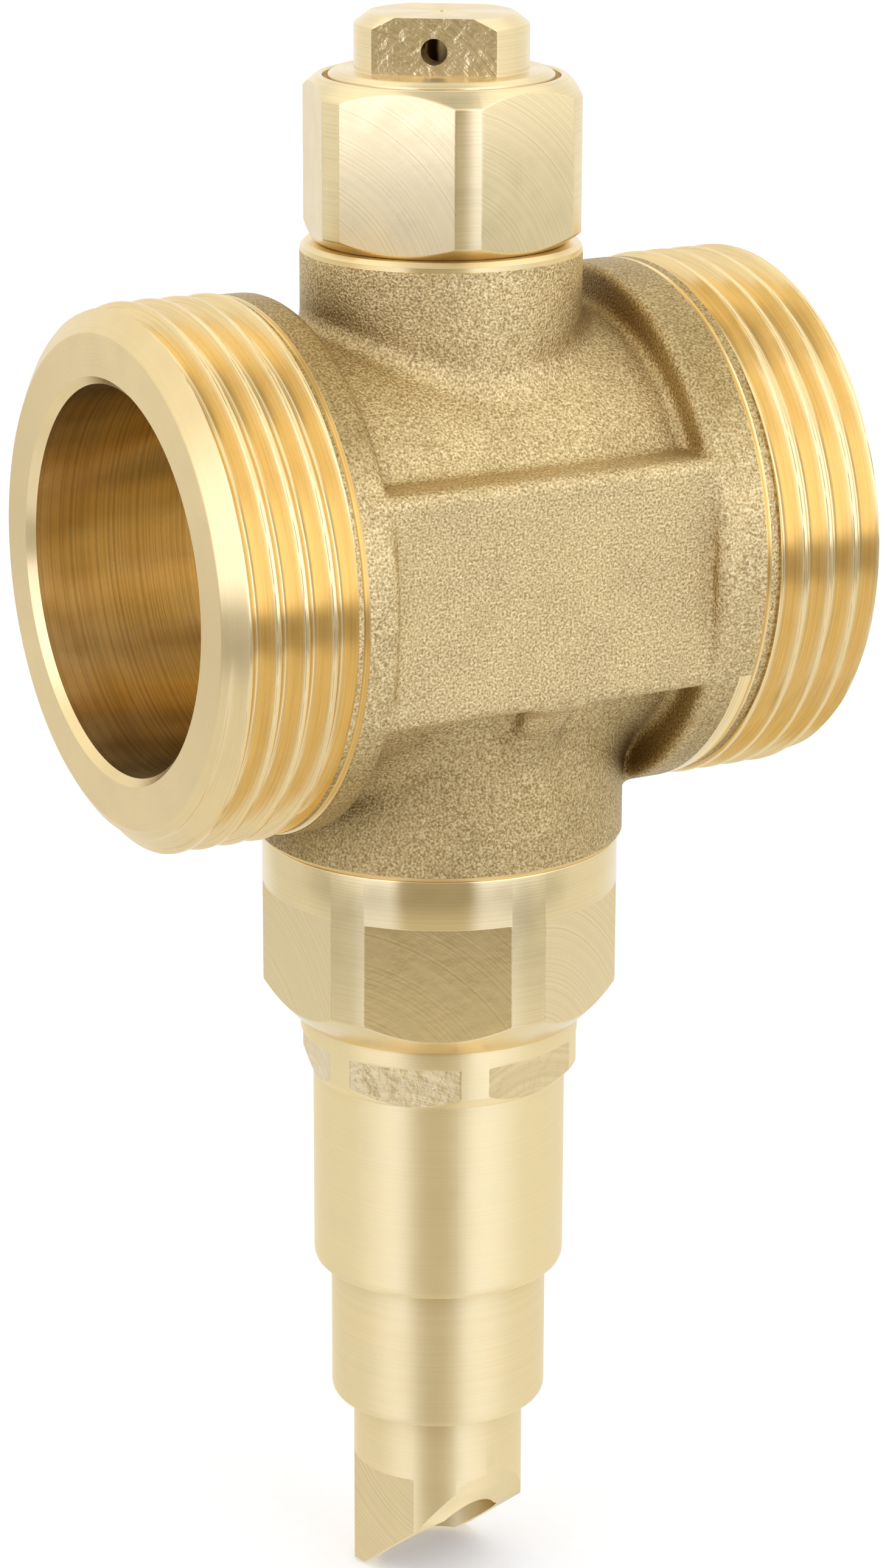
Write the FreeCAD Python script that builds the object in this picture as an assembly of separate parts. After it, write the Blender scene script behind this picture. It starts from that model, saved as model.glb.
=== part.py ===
import FreeCAD, Part
import math
import os

from FreeCAD import Vector

# Antifreeze valve in brass. Sizes are in millimetres.
# The frame's origin is where the pipe axis (X) crosses the upright axis (Z). The front faces -Y.

# Fits
THREAD_GAP = 0.05
RUNNING_GAP = 0.05
SEAT_GAP = 0.05
LOOSE_GAP = 0.4

# Valve body: the pipe run
RUN_HALF = 28.5
THREAD_R = 20.955
THREAD_WALL = 5.955
BARREL_WALL = 2.8
THREAD_START = 18.2
THREAD_PITCH = 2.309
THREAD_FLANK_ANGLE = 27.5
LEFT_CREST = 20.2
RIGHT_CREST = 20.5
MOUTH_CHAMFER = 0.6
CHAMBER_STEP = 0.4
CHAMBER_SPARE = 1.4
END_CHAMFER_LENGTH = 1.3
END_CHAMFER_DEPTH = 2.05
COLLAR_DROP = 0.1
COLLAR_INNER = 13.9
COLLAR_LEFT = 17.3
COLLAR_RIGHT = 15.9
RELIEF_WIDTH = 0.5
RELIEF_DEPTH = 0.45
CAST_STRIP_DROP = 0.25
COLLAR_ROUND = 0.7
COLLAR_FILLET = 1.0

# Valve body: the pads and the two bosses
PAD_RISE = 1.6
PAD_HALF_HEIGHT = 8.7
PAD_ROUND = 0.8
RIB_WIDTH = 4.0
RIB_DROP = 4.5
TOP_BOSS_R = 10.95
TOP_BOSS_RISE = 6.0
TOP_BAND_HEIGHT = 0.7
TOP_BAND_DROP = 0.1
TOP_EDGE_CHAMFER = 0.35
BOTTOM_BOSS_R = 14.6
BOTTOM_BOSS_DROP = 5.8
BOTTOM_EDGE_CHAMFER = 0.4
BOSS_FILLET = 1.8

# Vent: nut and gasket
VENT_THREAD_R = 8.4
GASKET_R = 9.5
GASKET_THICKNESS = 1.0
NUT_R = 11.0
NUT_FLATS = 20.0
NUT_TURN = 11.7
NUT_NECK_R = 9.6
NUT_FOOT = 1.0
NUT_SIDE = 10.5
NUT_CROWN = 1.2
NUT_RIM = 0.45
NUT_RECESS = 0.8
NUT_SHANK = 8.0

# Vent: seat, guide, poppet and spring
POCKET_R = 6.4
POCKET_DEPTH = 3.8
VENT_SEAT_R = 3.8
PARTITION = 2.4
STEM_R = 1.5
VENT_GUIDE_THICKNESS = 1.6
VENT_GUIDE_RING = 1.6
VENT_GUIDE_HUB_WALL = 1.05
POPPET_R = 5.2
POPPET_THICKNESS = 1.0
POPPET_SEAL_THICKNESS = 1.0
POPPET_SEAL_DROP = 0.2
VENT_TRAVEL = 1.6
VENT_SPRING_WIRE_R = 0.2
VENT_SPRING_LENGTH = 4.3
VENT_SPRING_GAP = 0.5
VENT_SPRING_TURNS = 5
CLIP_THICKNESS = 0.6
CLIP_WIDTH = 1.8
CLIP_GROOVE_DEPTH = 0.4
STEM_END = 0.7

# Vent: cap
CAP_DISC_R = 9.0
CAP_DISC_GAP = 0.1
CAP_DISC_THICKNESS = 1.2
CAP_THREAD_R = 7.05
CAP_THREAD_LENGTH = 5.2
CAP_R = 6.71
CAP_HEIGHT = 4.3
CAP_CHAMFER_HEIGHT = 0.85
CAP_CHAMFER_DEPTH = 1.1
CAP_FLATS = 9.5
CAP_TURN = -36.0
CAP_BORE_R = 3.4
CAP_AIR_R = 2.2
CAP_CROSS_R = 1.0
CAP_CROSS_HEIGHT = 1.8
CAP_ROOF = 1.3
CENTRE_MARK_R = 0.5
CAP_SEAL_R = 0.55

# Adapter, the hexagonal holder under the body
ADAPTER_THREAD_R = 11.1
ADAPTER_SHANK = 8.0
ADAPTER_R = 14.2
ADAPTER_SIDE = 12.4
ADAPTER_CHAMFER_HEIGHT = 2.7
ADAPTER_FOOT_R = 11.6
ADAPTER_FLATS = 26.0
ADAPTER_FLAT_START = 4.0
ADAPTER_TURN = -29.4
ADAPTER_SEAL_R = 0.57
ADAPTER_SEAL_OFFSET = 1.2
SHUTOFF_BORE_R = 8.4
SHUTOFF_LEDGE = 0.6
SHUTOFF_SEAT_R = 6.4
SHUTOFF_SEAT_DEPTH = 7.0
SHUTOFF_SEAT_THICKNESS = 1.8

# Shut-off that closes the holder when the cartridge is unscrewed
SHUTOFF_GUIDE_THICKNESS = 1.1
SHUTOFF_GUIDE_RING = 1.6
SHUTOFF_GUIDE_HUB_WALL = 0.9
SHUTOFF_DISC_R = 7.4
SHUTOFF_DISC_THICKNESS = 1.2
SHUTOFF_SEAL_THICKNESS = 0.8
SHUTOFF_SEAL_BORE_R = 2.5
SHUTOFF_LIFT = 1.0
SHUTOFF_SPRING_R = 4.5
SHUTOFF_SPRING_WIRE_R = 0.3
SHUTOFF_SPRING_TURNS = 2.5
RECESS_EDGE = 0.1

# Cartridge sleeve
NECK_R = 9.2
NECK_LENGTH = 13.9
RING_R = 11.2
RING_HEIGHT = 5.1
RING_CHAMFER = 1.0
RING_FLATS = 20.5
RING_FLAT_START = 1.6
RING_TURN = -44.0
SLEEVE_R = 10.2
SLEEVE_LENGTH = 16.6
SLEEVE_ROUND = 1.35
SLEEVE_BORE_R = 7.6
HOLDER_DEPTH = 13.0
PLUG_BORE_R = 7.0
NOZZLE_THREAD_R = 8.05
NOZZLE_THREAD_LENGTH = 4.4
NECK_SEAL_R = 0.45
NECK_SEAL_OFFSET = 1.7

# Wax element, its holder and clip
CAPSULE_R = 4.0
FLANGE_R = 5.2
FLANGE_THICKNESS = 2.3
ELEMENT_NECK_R = 2.9
ELEMENT_NECK_LENGTH = 7.2
HOLDER_THICKNESS = 2.5
HOLDER_RING = 1.25
HOLDER_HUB_WALL = 1.0
HOLDER_CLIP_THICKNESS = 0.9
HOLDER_CLIP_BITE = 0.4
HOLDER_CLIP_WIDTH = 1.0
PISTON_R = 1.2
PISTON_LENGTH = 11.9
PISTON_BORE_SPARE = 1.8

# Drain plug
PLUG_TRAVEL = 2.5
PLUG_DISC_THICKNESS = 1.8
PLUG_BOSS_R = 2.6
PLUG_BOSS_HEIGHT = 3.4
PLUG_SOCKET_DEPTH = 2.8
PLUG_REST_GAP = 0.6
PLUG_WINDOW = 1.9
PLUG_SEAL_THICKNESS = 1.4
PLUG_SEAL_OVERHANG = 0.2
RIVET_R = 1.5
RIVET_HEAD_R = 2.4
RIVET_HEAD_THICKNESS = 0.7
RETURN_SPRING_WIRE_R = 0.3
RETURN_SPRING_TURNS = 4

# Drain nozzle
COLLAR_BORE_R = 4.0
COLLAR_WALL = 1.0
NOZZLE_R = 8.78
NOZZLE_LENGTH = 11.8
NOZZLE_ROUND = 1.7
NOZZLE_SEAL_R = 0.45
NOZZLE_SEAL_OFFSET = 2.0
TIP_R = 6.97
TIP_LENGTH = 15.5
TIP_FLATS = 11.6
TIP_FLAT_START = 5.6
TIP_TURN = -79.0
OUTLET_R = 4.9
OUTLET_DEPTH = 25.5
TIP_CUT_START = -2.6
TIP_CUT_ANGLE = 38.5
TIP_CUT_BREAK = 4.1
TIP_CUT_STEEP_ANGLE = 58.0

# Levels and radii worked out from the sizes above
WATERWAY_R = THREAD_R - THREAD_WALL
CHAMBER_R = WATERWAY_R + CHAMBER_STEP
CHAMBER_HALF = ADAPTER_THREAD_R + CHAMBER_SPARE
BARREL_R = WATERWAY_R + BARREL_WALL
COLLAR_R = THREAD_R - COLLAR_DROP
PAD_FRONT = BARREL_R + PAD_RISE
TOP_BOSS_HEIGHT = BARREL_R + TOP_BOSS_RISE
BOTTOM_BOSS_DEPTH = BARREL_R + BOTTOM_BOSS_DROP

NUT_BASE = TOP_BOSS_HEIGHT
NUT_TOP = NUT_BASE + NUT_FOOT + NUT_SIDE + NUT_CROWN
NUT_LEDGE = NUT_TOP - NUT_RECESS
NUT_BOTTOM = NUT_BASE - NUT_SHANK
VENT_SEAT = NUT_BOTTOM + POCKET_DEPTH
VENT_GUIDE_BASE = VENT_SEAT + PARTITION
VENT_GUIDE_TOP = VENT_GUIDE_BASE + VENT_GUIDE_THICKNESS
CLIP_BASE = VENT_GUIDE_TOP + VENT_SPRING_LENGTH
POPPET_TOP = VENT_SEAT - SEAT_GAP - POPPET_SEAL_THICKNESS
VENT_SPRING_R = STEM_R + VENT_SPRING_GAP + VENT_SPRING_WIRE_R

ADAPTER_TOP = -BOTTOM_BOSS_DEPTH + ADAPTER_SHANK
ADAPTER_SIDE_END = -BOTTOM_BOSS_DEPTH - ADAPTER_SIDE
ADAPTER_END = ADAPTER_SIDE_END - ADAPTER_CHAMFER_HEIGHT
SHUTOFF_SEAT = ADAPTER_TOP - SHUTOFF_SEAT_DEPTH
SHUTOFF_GUIDE_END = ADAPTER_TOP - RECESS_EDGE - SHUTOFF_GUIDE_THICKNESS
CAPSULE_TOP = SHUTOFF_SEAT + SHUTOFF_LIFT
SHUTOFF_DISC_END = CAPSULE_TOP + SHUTOFF_SEAL_THICKNESS
SHUTOFF_DISC_TOP = SHUTOFF_DISC_END + SHUTOFF_DISC_THICKNESS

SLEEVE_TOP = ADAPTER_END + NECK_LENGTH
RING_END = ADAPTER_END - RING_HEIGHT
SLEEVE_END = RING_END - SLEEVE_LENGTH
HOLDER_END = SLEEVE_TOP - HOLDER_DEPTH
HOLDER_TOP = HOLDER_END + HOLDER_THICKNESS
ELEMENT_END = HOLDER_TOP - ELEMENT_NECK_LENGTH
PLUG_TOP = ELEMENT_END - PLUG_REST_GAP - PLUG_TRAVEL
PLUG_DISC_TOP = PLUG_TOP - PLUG_BOSS_HEIGHT
PLUG_DISC_END = PLUG_DISC_TOP - PLUG_DISC_THICKNESS
PLUG_SEAL_END = PLUG_DISC_END - PLUG_SEAL_THICKNESS
DRAIN_SEAT = PLUG_SEAL_END - SEAT_GAP
PISTON_END = PLUG_TOP - PLUG_SOCKET_DEPTH
PISTON_TOP = PISTON_END + PISTON_LENGTH
NOZZLE_TOP = SLEEVE_END + NOZZLE_THREAD_LENGTH
NOZZLE_SHOULDER_END = SLEEVE_END - NOZZLE_LENGTH
TIP_END = NOZZLE_SHOULDER_END - TIP_LENGTH
DRAIN_COLLAR_R = COLLAR_BORE_R + COLLAR_WALL
PLUG_SEAL_R = DRAIN_COLLAR_R + PLUG_SEAL_OVERHANG
PLUG_DISC_R = PLUG_BORE_R - LOOSE_GAP
RETURN_SPRING_R = (PLUG_SEAL_R + PLUG_DISC_R) / 2

X_AXIS = Vector(1, 0, 0)
Z_AXIS = Vector(0, 0, 1)


def outline(corners):
    """A face in the XZ plane through corners (x, z) or (x, z, radius), where a radius rounds that corner."""
    points = [Vector(corner[0], 0, corner[1]) for corner in corners]
    edges = []
    stretches = []
    for i, here in enumerate(points):
        radius = corners[i][2] if len(corners[i]) > 2 else 0
        if radius == 0:
            stretches.append((here, None, here))
            continue
        back = (points[i - 1] - here).normalize()
        ahead = (points[(i + 1) % len(points)] - here).normalize()
        half_angle = back.getAngle(ahead) / 2
        reach = radius / math.tan(half_angle)
        middle = (back + ahead).normalize() * (radius / math.sin(half_angle) - radius)
        stretches.append((here + back * reach, here + middle, here + ahead * reach))
    for i, (start, middle, end) in enumerate(stretches):
        before = stretches[i - 1][2]
        if before.distanceToPoint(start) > 1e-6:
            edges.append(Part.makeLine(before, start))
        if middle is not None:
            edges.append(Part.Arc(start, middle, end).toShape())
    return Part.Face(Part.Wire(Part.sortEdges(edges)[0]))


def turned(corners, axis=Z_AXIS):
    """A solid of revolution: corners are (radius, height) about Z, or (place, radius) about X."""
    return outline(corners).revolve(Vector(), axis, 360)


def ring(inner_r, outer_r, low, high):
    """A plain ring or tube about Z."""
    return turned([(inner_r, low), (outer_r, low), (outer_r, high), (inner_r, high)])


def rod(radius, low, high):
    """A plain cylinder about Z."""
    return Part.makeCylinder(radius, high - low, Vector(0, 0, low))


def o_ring(section_r, inner_r, level):
    """A rubber ring about Z that sits on a groove floor of radius inner_r."""
    return Part.makeTorus(inner_r + section_r, section_r, Vector(0, 0, level))


def o_ring_groove(section_r, inner_r, outer_r, level):
    """The square groove that an o_ring of the same sizes lies in."""
    half = section_r * 1.3
    return ring(inner_r - THREAD_GAP, outer_r, level - half, level + half)


def flats(count, across, beyond, low, high, turn):
    """What a cutter takes away to leave flats: boxes outside the distance across, turned about Z."""
    cutters = []
    depth = beyond - across / 2 + 1
    for i in range(count):
        box = Part.makeBox(2 * beyond, depth, high - low, Vector(-beyond, -across / 2 - depth, low))
        box.rotate(Vector(), Z_AXIS, turn + i * 360 / count)
        cutters.append(box)
    return cutters


def spring(coil_r, wire_r, low, high, turns):
    """A coil of round wire that stands between two levels, along a smooth curve with 8 points a turn."""
    rise = high - low - 2 * wire_r
    steps = round(8 * turns)
    points = []
    for i in range(steps + 1):
        angle = 2 * math.pi * turns * i / steps
        level = low + wire_r + rise * i / steps
        points.append(Vector(coil_r * math.cos(angle), coil_r * math.sin(angle), level))
    path = Part.BSplineCurve()
    path.interpolate(points)
    section = Part.makeCircle(wire_r, points[0], path.tangent(path.FirstParameter)[0])
    return Part.Wire(path.toShape()).makePipeShell([Part.Wire(section)], True, True)


def spider(outer_r, rim, hub_r, hole_r, low, high, arms):
    """A rim joined to a hub by arms, with open water ways between them and a hole for a stem."""
    shape = ring(outer_r - rim, outer_r, low, high)
    shape = shape.fuse(ring(hole_r, hub_r, low, high))
    arm_width = rim
    for i in range(arms):
        inner = (hole_r + hub_r) / 2
        arm = Part.makeBox(outer_r - rim / 2 - inner, arm_width, high - low, Vector(inner, -arm_width / 2, low))
        arm.rotate(Vector(), Z_AXIS, i * 360 / arms)
        shape = shape.fuse(arm)
    return shape.removeSplitter()


def split_ring(inner_r, outer_r, low, high, opening):
    """A retaining ring with a gap that lets it spring open."""
    gap = Part.makeBox(outer_r + 1, opening, high - low + 2, Vector(0, -opening / 2, low - 1))
    return ring(inner_r, outer_r, low, high).cut(gap)


def pipe_run():
    """The cast run: two threaded ends, collars with turned reliefs, and the slimmer barrel between them."""
    left_relief = COLLAR_LEFT + RELIEF_WIDTH
    right_relief = COLLAR_RIGHT + RELIEF_WIDTH
    strip_r = THREAD_R - CAST_STRIP_DROP
    relief_r = strip_r - RELIEF_DEPTH
    end_r = THREAD_R - END_CHAMFER_DEPTH
    crest_end = RUN_HALF - END_CHAMFER_LENGTH
    return turned([
        (-RUN_HALF, 0), (-RUN_HALF, end_r), (-crest_end, THREAD_R), (-THREAD_START, THREAD_R),
        (-THREAD_START, strip_r), (-left_relief, strip_r), (-left_relief, relief_r),
        (-COLLAR_LEFT, relief_r), (-COLLAR_LEFT, COLLAR_R),
        (-COLLAR_INNER, COLLAR_R, COLLAR_ROUND), (-COLLAR_INNER, BARREL_R, COLLAR_FILLET),
        (COLLAR_INNER, BARREL_R, COLLAR_FILLET), (COLLAR_INNER, COLLAR_R, COLLAR_ROUND),
        (COLLAR_RIGHT, COLLAR_R), (COLLAR_RIGHT, relief_r), (right_relief, relief_r),
        (right_relief, strip_r), (THREAD_START, strip_r), (THREAD_START, THREAD_R),
        (crest_end, THREAD_R), (RUN_HALF, end_r), (RUN_HALF, 0)], X_AXIS)


def thread_grooves(side, crest):
    """The grooves of a pipe thread as plain rings, on the left (side -1) or right, beside the crest at this place.

    Crests and roots are one sixth of the pitch wide. Each groove's mouth reaches a little past the crests."""
    slope = math.tan(math.radians(THREAD_FLANK_ANGLE))
    half_root = THREAD_PITCH / 12
    half_mouth = THREAD_PITCH / 2 - half_root
    half_over = half_mouth + half_root / 2
    root_r = THREAD_R - (half_mouth - half_root) / slope
    over_r = root_r + (half_over - half_root) / slope
    grooves = []
    middle = crest - THREAD_PITCH / 2
    while middle < RUN_HALF - END_CHAMFER_LENGTH:
        groove = turned([
            (middle - half_root, root_r), (middle + half_root, root_r),
            (middle + half_over, over_r), (middle - half_over, over_r)], X_AXIS)
        if side < 0:
            groove.rotate(Vector(), Z_AXIS, 180)
        grooves.append(groove)
        middle += THREAD_PITCH
    return grooves


def waterway():
    """The bore along the run: a chamfered mouth at each end, and the wider cored chamber in the middle."""
    mouth_r = WATERWAY_R + MOUTH_CHAMFER
    inner_end = RUN_HALF - MOUTH_CHAMFER
    return turned([
        (-RUN_HALF, 0), (-RUN_HALF, mouth_r), (-inner_end, WATERWAY_R),
        (-CHAMBER_HALF, WATERWAY_R), (-CHAMBER_HALF, CHAMBER_R), (CHAMBER_HALF, CHAMBER_R),
        (CHAMBER_HALF, WATERWAY_R), (inner_end, WATERWAY_R), (RUN_HALF, mouth_r), (RUN_HALF, 0)], X_AXIS)


def blended_core():
    """The barrel and both bosses, with the casting's blends where each boss leaves the barrel."""
    barrel = Part.makeCylinder(BARREL_R, 2 * THREAD_START, Vector(-THREAD_START, 0, 0), X_AXIS)
    band_r = TOP_BOSS_R - TOP_BAND_DROP
    band_base = TOP_BOSS_HEIGHT - TOP_BAND_HEIGHT
    top_boss = turned([
        (0, 0), (TOP_BOSS_R, 0), (TOP_BOSS_R, band_base), (band_r, band_base),
        (band_r, TOP_BOSS_HEIGHT - TOP_EDGE_CHAMFER), (band_r - TOP_EDGE_CHAMFER, TOP_BOSS_HEIGHT),
        (0, TOP_BOSS_HEIGHT)])
    bottom_boss = turned([
        (0, 0), (0, -BOTTOM_BOSS_DEPTH), (BOTTOM_BOSS_R - BOTTOM_EDGE_CHAMFER, -BOTTOM_BOSS_DEPTH),
        (BOTTOM_BOSS_R, -BOTTOM_BOSS_DEPTH + BOTTOM_EDGE_CHAMFER), (BOTTOM_BOSS_R, 0)])
    core = barrel.fuse([top_boss, bottom_boss]).removeSplitter()
    seams = [edge for edge in core.Edges if on_barrel(edge) and abs(edge.BoundBox.Center.z) > 1]
    return core.makeFillet(BOSS_FILLET, seams)


def on_barrel(edge):
    """True for an edge that lies on the barrel's round surface without reaching its ends."""
    points = edge.discretize(5)
    on_surface = all(abs(math.hypot(point.y, point.z) - BARREL_R) < 0.01 for point in points)
    return on_surface and all(abs(point.x) < THREAD_START - 1 for point in points)


def pads():
    """The two flat pads that fill the run between the collars, front and back."""
    half_length = COLLAR_INNER + COLLAR_ROUND
    bar = outline([
        (-PAD_FRONT, -PAD_HALF_HEIGHT, PAD_ROUND), (PAD_FRONT, -PAD_HALF_HEIGHT, PAD_ROUND),
        (PAD_FRONT, PAD_HALF_HEIGHT, PAD_ROUND), (-PAD_FRONT, PAD_HALF_HEIGHT, PAD_ROUND)])
    bar.rotate(Vector(), Z_AXIS, 90)
    bar.translate(Vector(-half_length, 0, 0))
    return bar.extrude(Vector(2 * half_length, 0, 0))


def ribs():
    """The short webs that run from each pad's lower edge down to the bottom boss."""
    pad_edge = PAD_FRONT - PAD_ROUND / 2
    foot = -PAD_HALF_HEIGHT - RIB_DROP
    web = outline([(-pad_edge, 0), (-pad_edge, -PAD_HALF_HEIGHT), (-BOTTOM_BOSS_R, foot),
                   (BOTTOM_BOSS_R, foot), (pad_edge, -PAD_HALF_HEIGHT), (pad_edge, 0)])
    web.rotate(Vector(), Z_AXIS, 90)
    web.translate(Vector(-RIB_WIDTH / 2, 0, 0))
    return web.extrude(Vector(RIB_WIDTH, 0, 0))


def valve_body():
    """The brass casting: run, pads, ribs and bosses in one piece, bored and turned."""
    body = blended_core().fuse([pipe_run(), pads(), ribs()]).removeSplitter()
    vent_bore = rod(VENT_THREAD_R, 0, TOP_BOSS_HEIGHT)
    gasket_seat = rod(GASKET_R, TOP_BOSS_HEIGHT - GASKET_THICKNESS, TOP_BOSS_HEIGHT)
    drain_bore = rod(ADAPTER_THREAD_R, -BOTTOM_BOSS_DEPTH, 0)
    grooves = thread_grooves(-1, LEFT_CREST) + thread_grooves(1, RIGHT_CREST)
    return body.cut([waterway(), vent_bore, gasket_seat, drain_bore] + grooves)


def vent_nut():
    """The hexagonal nut turned from bar: threaded shank, vent seat inside, recess for the cap on top."""
    side_low = NUT_BASE + NUT_FOOT
    side_high = side_low + NUT_SIDE
    recess_r = CAP_DISC_R + CAP_DISC_GAP
    nut = turned([
        (VENT_THREAD_R - THREAD_GAP, NUT_BOTTOM), (VENT_THREAD_R - THREAD_GAP, NUT_BASE),
        (NUT_NECK_R, NUT_BASE), (NUT_R, side_low), (NUT_R, side_high), (recess_r + NUT_RIM, NUT_TOP),
        (recess_r, NUT_TOP), (recess_r, NUT_LEDGE), (CAP_THREAD_R, NUT_LEDGE),
        (CAP_THREAD_R, VENT_GUIDE_BASE), (VENT_SEAT_R, VENT_GUIDE_BASE), (VENT_SEAT_R, VENT_SEAT),
        (POCKET_R, VENT_SEAT), (POCKET_R, NUT_BOTTOM)])
    seal_level = NUT_LEDGE - CAP_SEAL_R - SEAT_GAP
    seal_groove = ring(CAP_THREAD_R, CAP_THREAD_R + 2 * CAP_SEAL_R + THREAD_GAP, seal_level - CAP_SEAL_R, NUT_LEDGE)
    return nut.cut([seal_groove] + flats(6, NUT_FLATS, NUT_R, NUT_BASE, NUT_TOP, NUT_TURN))


def vent_gasket():
    """The flat fibre gasket between the body's top boss and the nut."""
    return ring(VENT_THREAD_R, GASKET_R - THREAD_GAP, NUT_BASE - GASKET_THICKNESS, NUT_BASE)


def vent_guide():
    """The spider that keeps the poppet's stem upright."""
    hole_r = STEM_R + RUNNING_GAP
    return spider(CAP_THREAD_R - THREAD_GAP, VENT_GUIDE_RING, hole_r + VENT_GUIDE_HUB_WALL, hole_r,
                  VENT_GUIDE_BASE, VENT_GUIDE_TOP, 3)


def vent_poppet():
    """The poppet: a disc and a long stem with a groove for its clip."""
    disc_base = POPPET_TOP - POPPET_THICKNESS
    groove_r = STEM_R - CLIP_GROOVE_DEPTH
    clip_top = CLIP_BASE + CLIP_THICKNESS
    return turned([
        (0, disc_base), (POPPET_R, disc_base), (POPPET_R, POPPET_TOP), (STEM_R, POPPET_TOP),
        (STEM_R, CLIP_BASE), (groove_r, CLIP_BASE), (groove_r, clip_top), (STEM_R, clip_top),
        (STEM_R, clip_top + STEM_END), (0, clip_top + STEM_END)])


def vent_poppet_seal():
    """The rubber washer on the poppet's disc."""
    return ring(STEM_R + THREAD_GAP, POPPET_R - POPPET_SEAL_DROP, POPPET_TOP, POPPET_TOP + POPPET_SEAL_THICKNESS)


def vent_spring():
    """The light spring that holds the poppet up on its seat."""
    return spring(VENT_SPRING_R, VENT_SPRING_WIRE_R, VENT_GUIDE_TOP, CLIP_BASE, VENT_SPRING_TURNS)


def vent_stem_clip():
    """The clip on the stem that takes the spring's push."""
    groove_r = STEM_R - CLIP_GROOVE_DEPTH
    return split_ring(groove_r, groove_r + CLIP_WIDTH, CLIP_BASE, CLIP_BASE + CLIP_THICKNESS, groove_r)


def vent_cap():
    """The cap: threaded tube, disc, and a head with two flats and a hole in the front one that lets air in."""
    head_base = NUT_LEDGE + CAP_DISC_THICKNESS
    head_top = head_base + CAP_HEIGHT
    low = NUT_LEDGE - CAP_THREAD_LENGTH
    thread_r = CAP_THREAD_R - THREAD_GAP
    cap = turned([
        (CAP_BORE_R, low), (thread_r, low), (thread_r, NUT_LEDGE), (CAP_DISC_R, NUT_LEDGE),
        (CAP_DISC_R, head_base), (CAP_R, head_base), (CAP_R, head_top - CAP_CHAMFER_HEIGHT),
        (CAP_R - CAP_CHAMFER_DEPTH, head_top), (CENTRE_MARK_R, head_top),
        (0, head_top - CENTRE_MARK_R), (0, head_top - CAP_ROOF), (CAP_AIR_R, head_top - CAP_ROOF),
        (CAP_AIR_R, head_base), (CAP_BORE_R, head_base)])
    cross_hole = Part.makeCylinder(CAP_CROSS_R, CAP_R, Vector(0, -CAP_R, head_base + CAP_CROSS_HEIGHT), Vector(0, 1, 0))
    cross_hole.rotate(Vector(), Z_AXIS, CAP_TURN)
    return cap.cut([cross_hole] + flats(2, CAP_FLATS, CAP_R, head_base, head_top, CAP_TURN))


def vent_cap_seal():
    """The rubber ring under the cap's disc."""
    return o_ring(CAP_SEAL_R, CAP_THREAD_R, NUT_LEDGE - CAP_SEAL_R - SEAT_GAP)


def adapter():
    """The hexagonal holder that screws up into the body and takes the cartridge from below."""
    shank_r = ADAPTER_THREAD_R - THREAD_GAP
    recess_end = SHUTOFF_GUIDE_END
    neck_bore_r = NECK_R + THREAD_GAP
    seat_back = SHUTOFF_SEAT - SHUTOFF_SEAT_THICKNESS
    holder = turned([
        (SHUTOFF_BORE_R + SHUTOFF_LEDGE, ADAPTER_TOP), (shank_r, ADAPTER_TOP),
        (shank_r, -BOTTOM_BOSS_DEPTH), (ADAPTER_R, -BOTTOM_BOSS_DEPTH), (ADAPTER_R, ADAPTER_SIDE_END),
        (ADAPTER_FOOT_R, ADAPTER_END), (neck_bore_r, ADAPTER_END), (neck_bore_r, seat_back),
        (SHUTOFF_SEAT_R, seat_back), (SHUTOFF_SEAT_R, SHUTOFF_SEAT), (SHUTOFF_BORE_R, SHUTOFF_SEAT),
        (SHUTOFF_BORE_R, recess_end), (SHUTOFF_BORE_R + SHUTOFF_LEDGE, recess_end)])
    groove_floor = shank_r - 2 * ADAPTER_SEAL_R
    groove = o_ring_groove(ADAPTER_SEAL_R, groove_floor, ADAPTER_THREAD_R, -BOTTOM_BOSS_DEPTH + ADAPTER_SEAL_OFFSET)
    flat_start = -BOTTOM_BOSS_DEPTH - ADAPTER_FLAT_START
    return holder.cut([groove] + flats(6, ADAPTER_FLATS, ADAPTER_R, ADAPTER_END, flat_start, ADAPTER_TURN))


def adapter_seal():
    """The rubber ring that seals the holder's shank in the body."""
    inner_r = ADAPTER_THREAD_R - THREAD_GAP - 2 * ADAPTER_SEAL_R
    return o_ring(ADAPTER_SEAL_R, inner_r, -BOTTOM_BOSS_DEPTH + ADAPTER_SEAL_OFFSET)


def shutoff_guide():
    """The spider pressed into the holder's mouth, above the shut-off disc."""
    hole_r = STEM_R + RUNNING_GAP
    return spider(SHUTOFF_BORE_R + SHUTOFF_LEDGE - THREAD_GAP, SHUTOFF_GUIDE_RING,
                  hole_r + SHUTOFF_GUIDE_HUB_WALL, hole_r,
                  SHUTOFF_GUIDE_END, SHUTOFF_GUIDE_END + SHUTOFF_GUIDE_THICKNESS, 3)


def shutoff_disc():
    """The disc that the cartridge's capsule keeps lifted off its seat."""
    stem_top = SHUTOFF_GUIDE_END + SHUTOFF_GUIDE_THICKNESS
    boss_r = SHUTOFF_SEAL_BORE_R - THREAD_GAP
    return turned([
        (0, CAPSULE_TOP), (boss_r, CAPSULE_TOP), (boss_r, SHUTOFF_DISC_END),
        (SHUTOFF_DISC_R, SHUTOFF_DISC_END), (SHUTOFF_DISC_R, SHUTOFF_DISC_TOP),
        (STEM_R, SHUTOFF_DISC_TOP), (STEM_R, stem_top), (0, stem_top)])


def shutoff_seal():
    """The rubber washer under the shut-off disc."""
    return ring(SHUTOFF_SEAL_BORE_R, SHUTOFF_DISC_R, CAPSULE_TOP, SHUTOFF_DISC_END)


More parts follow.
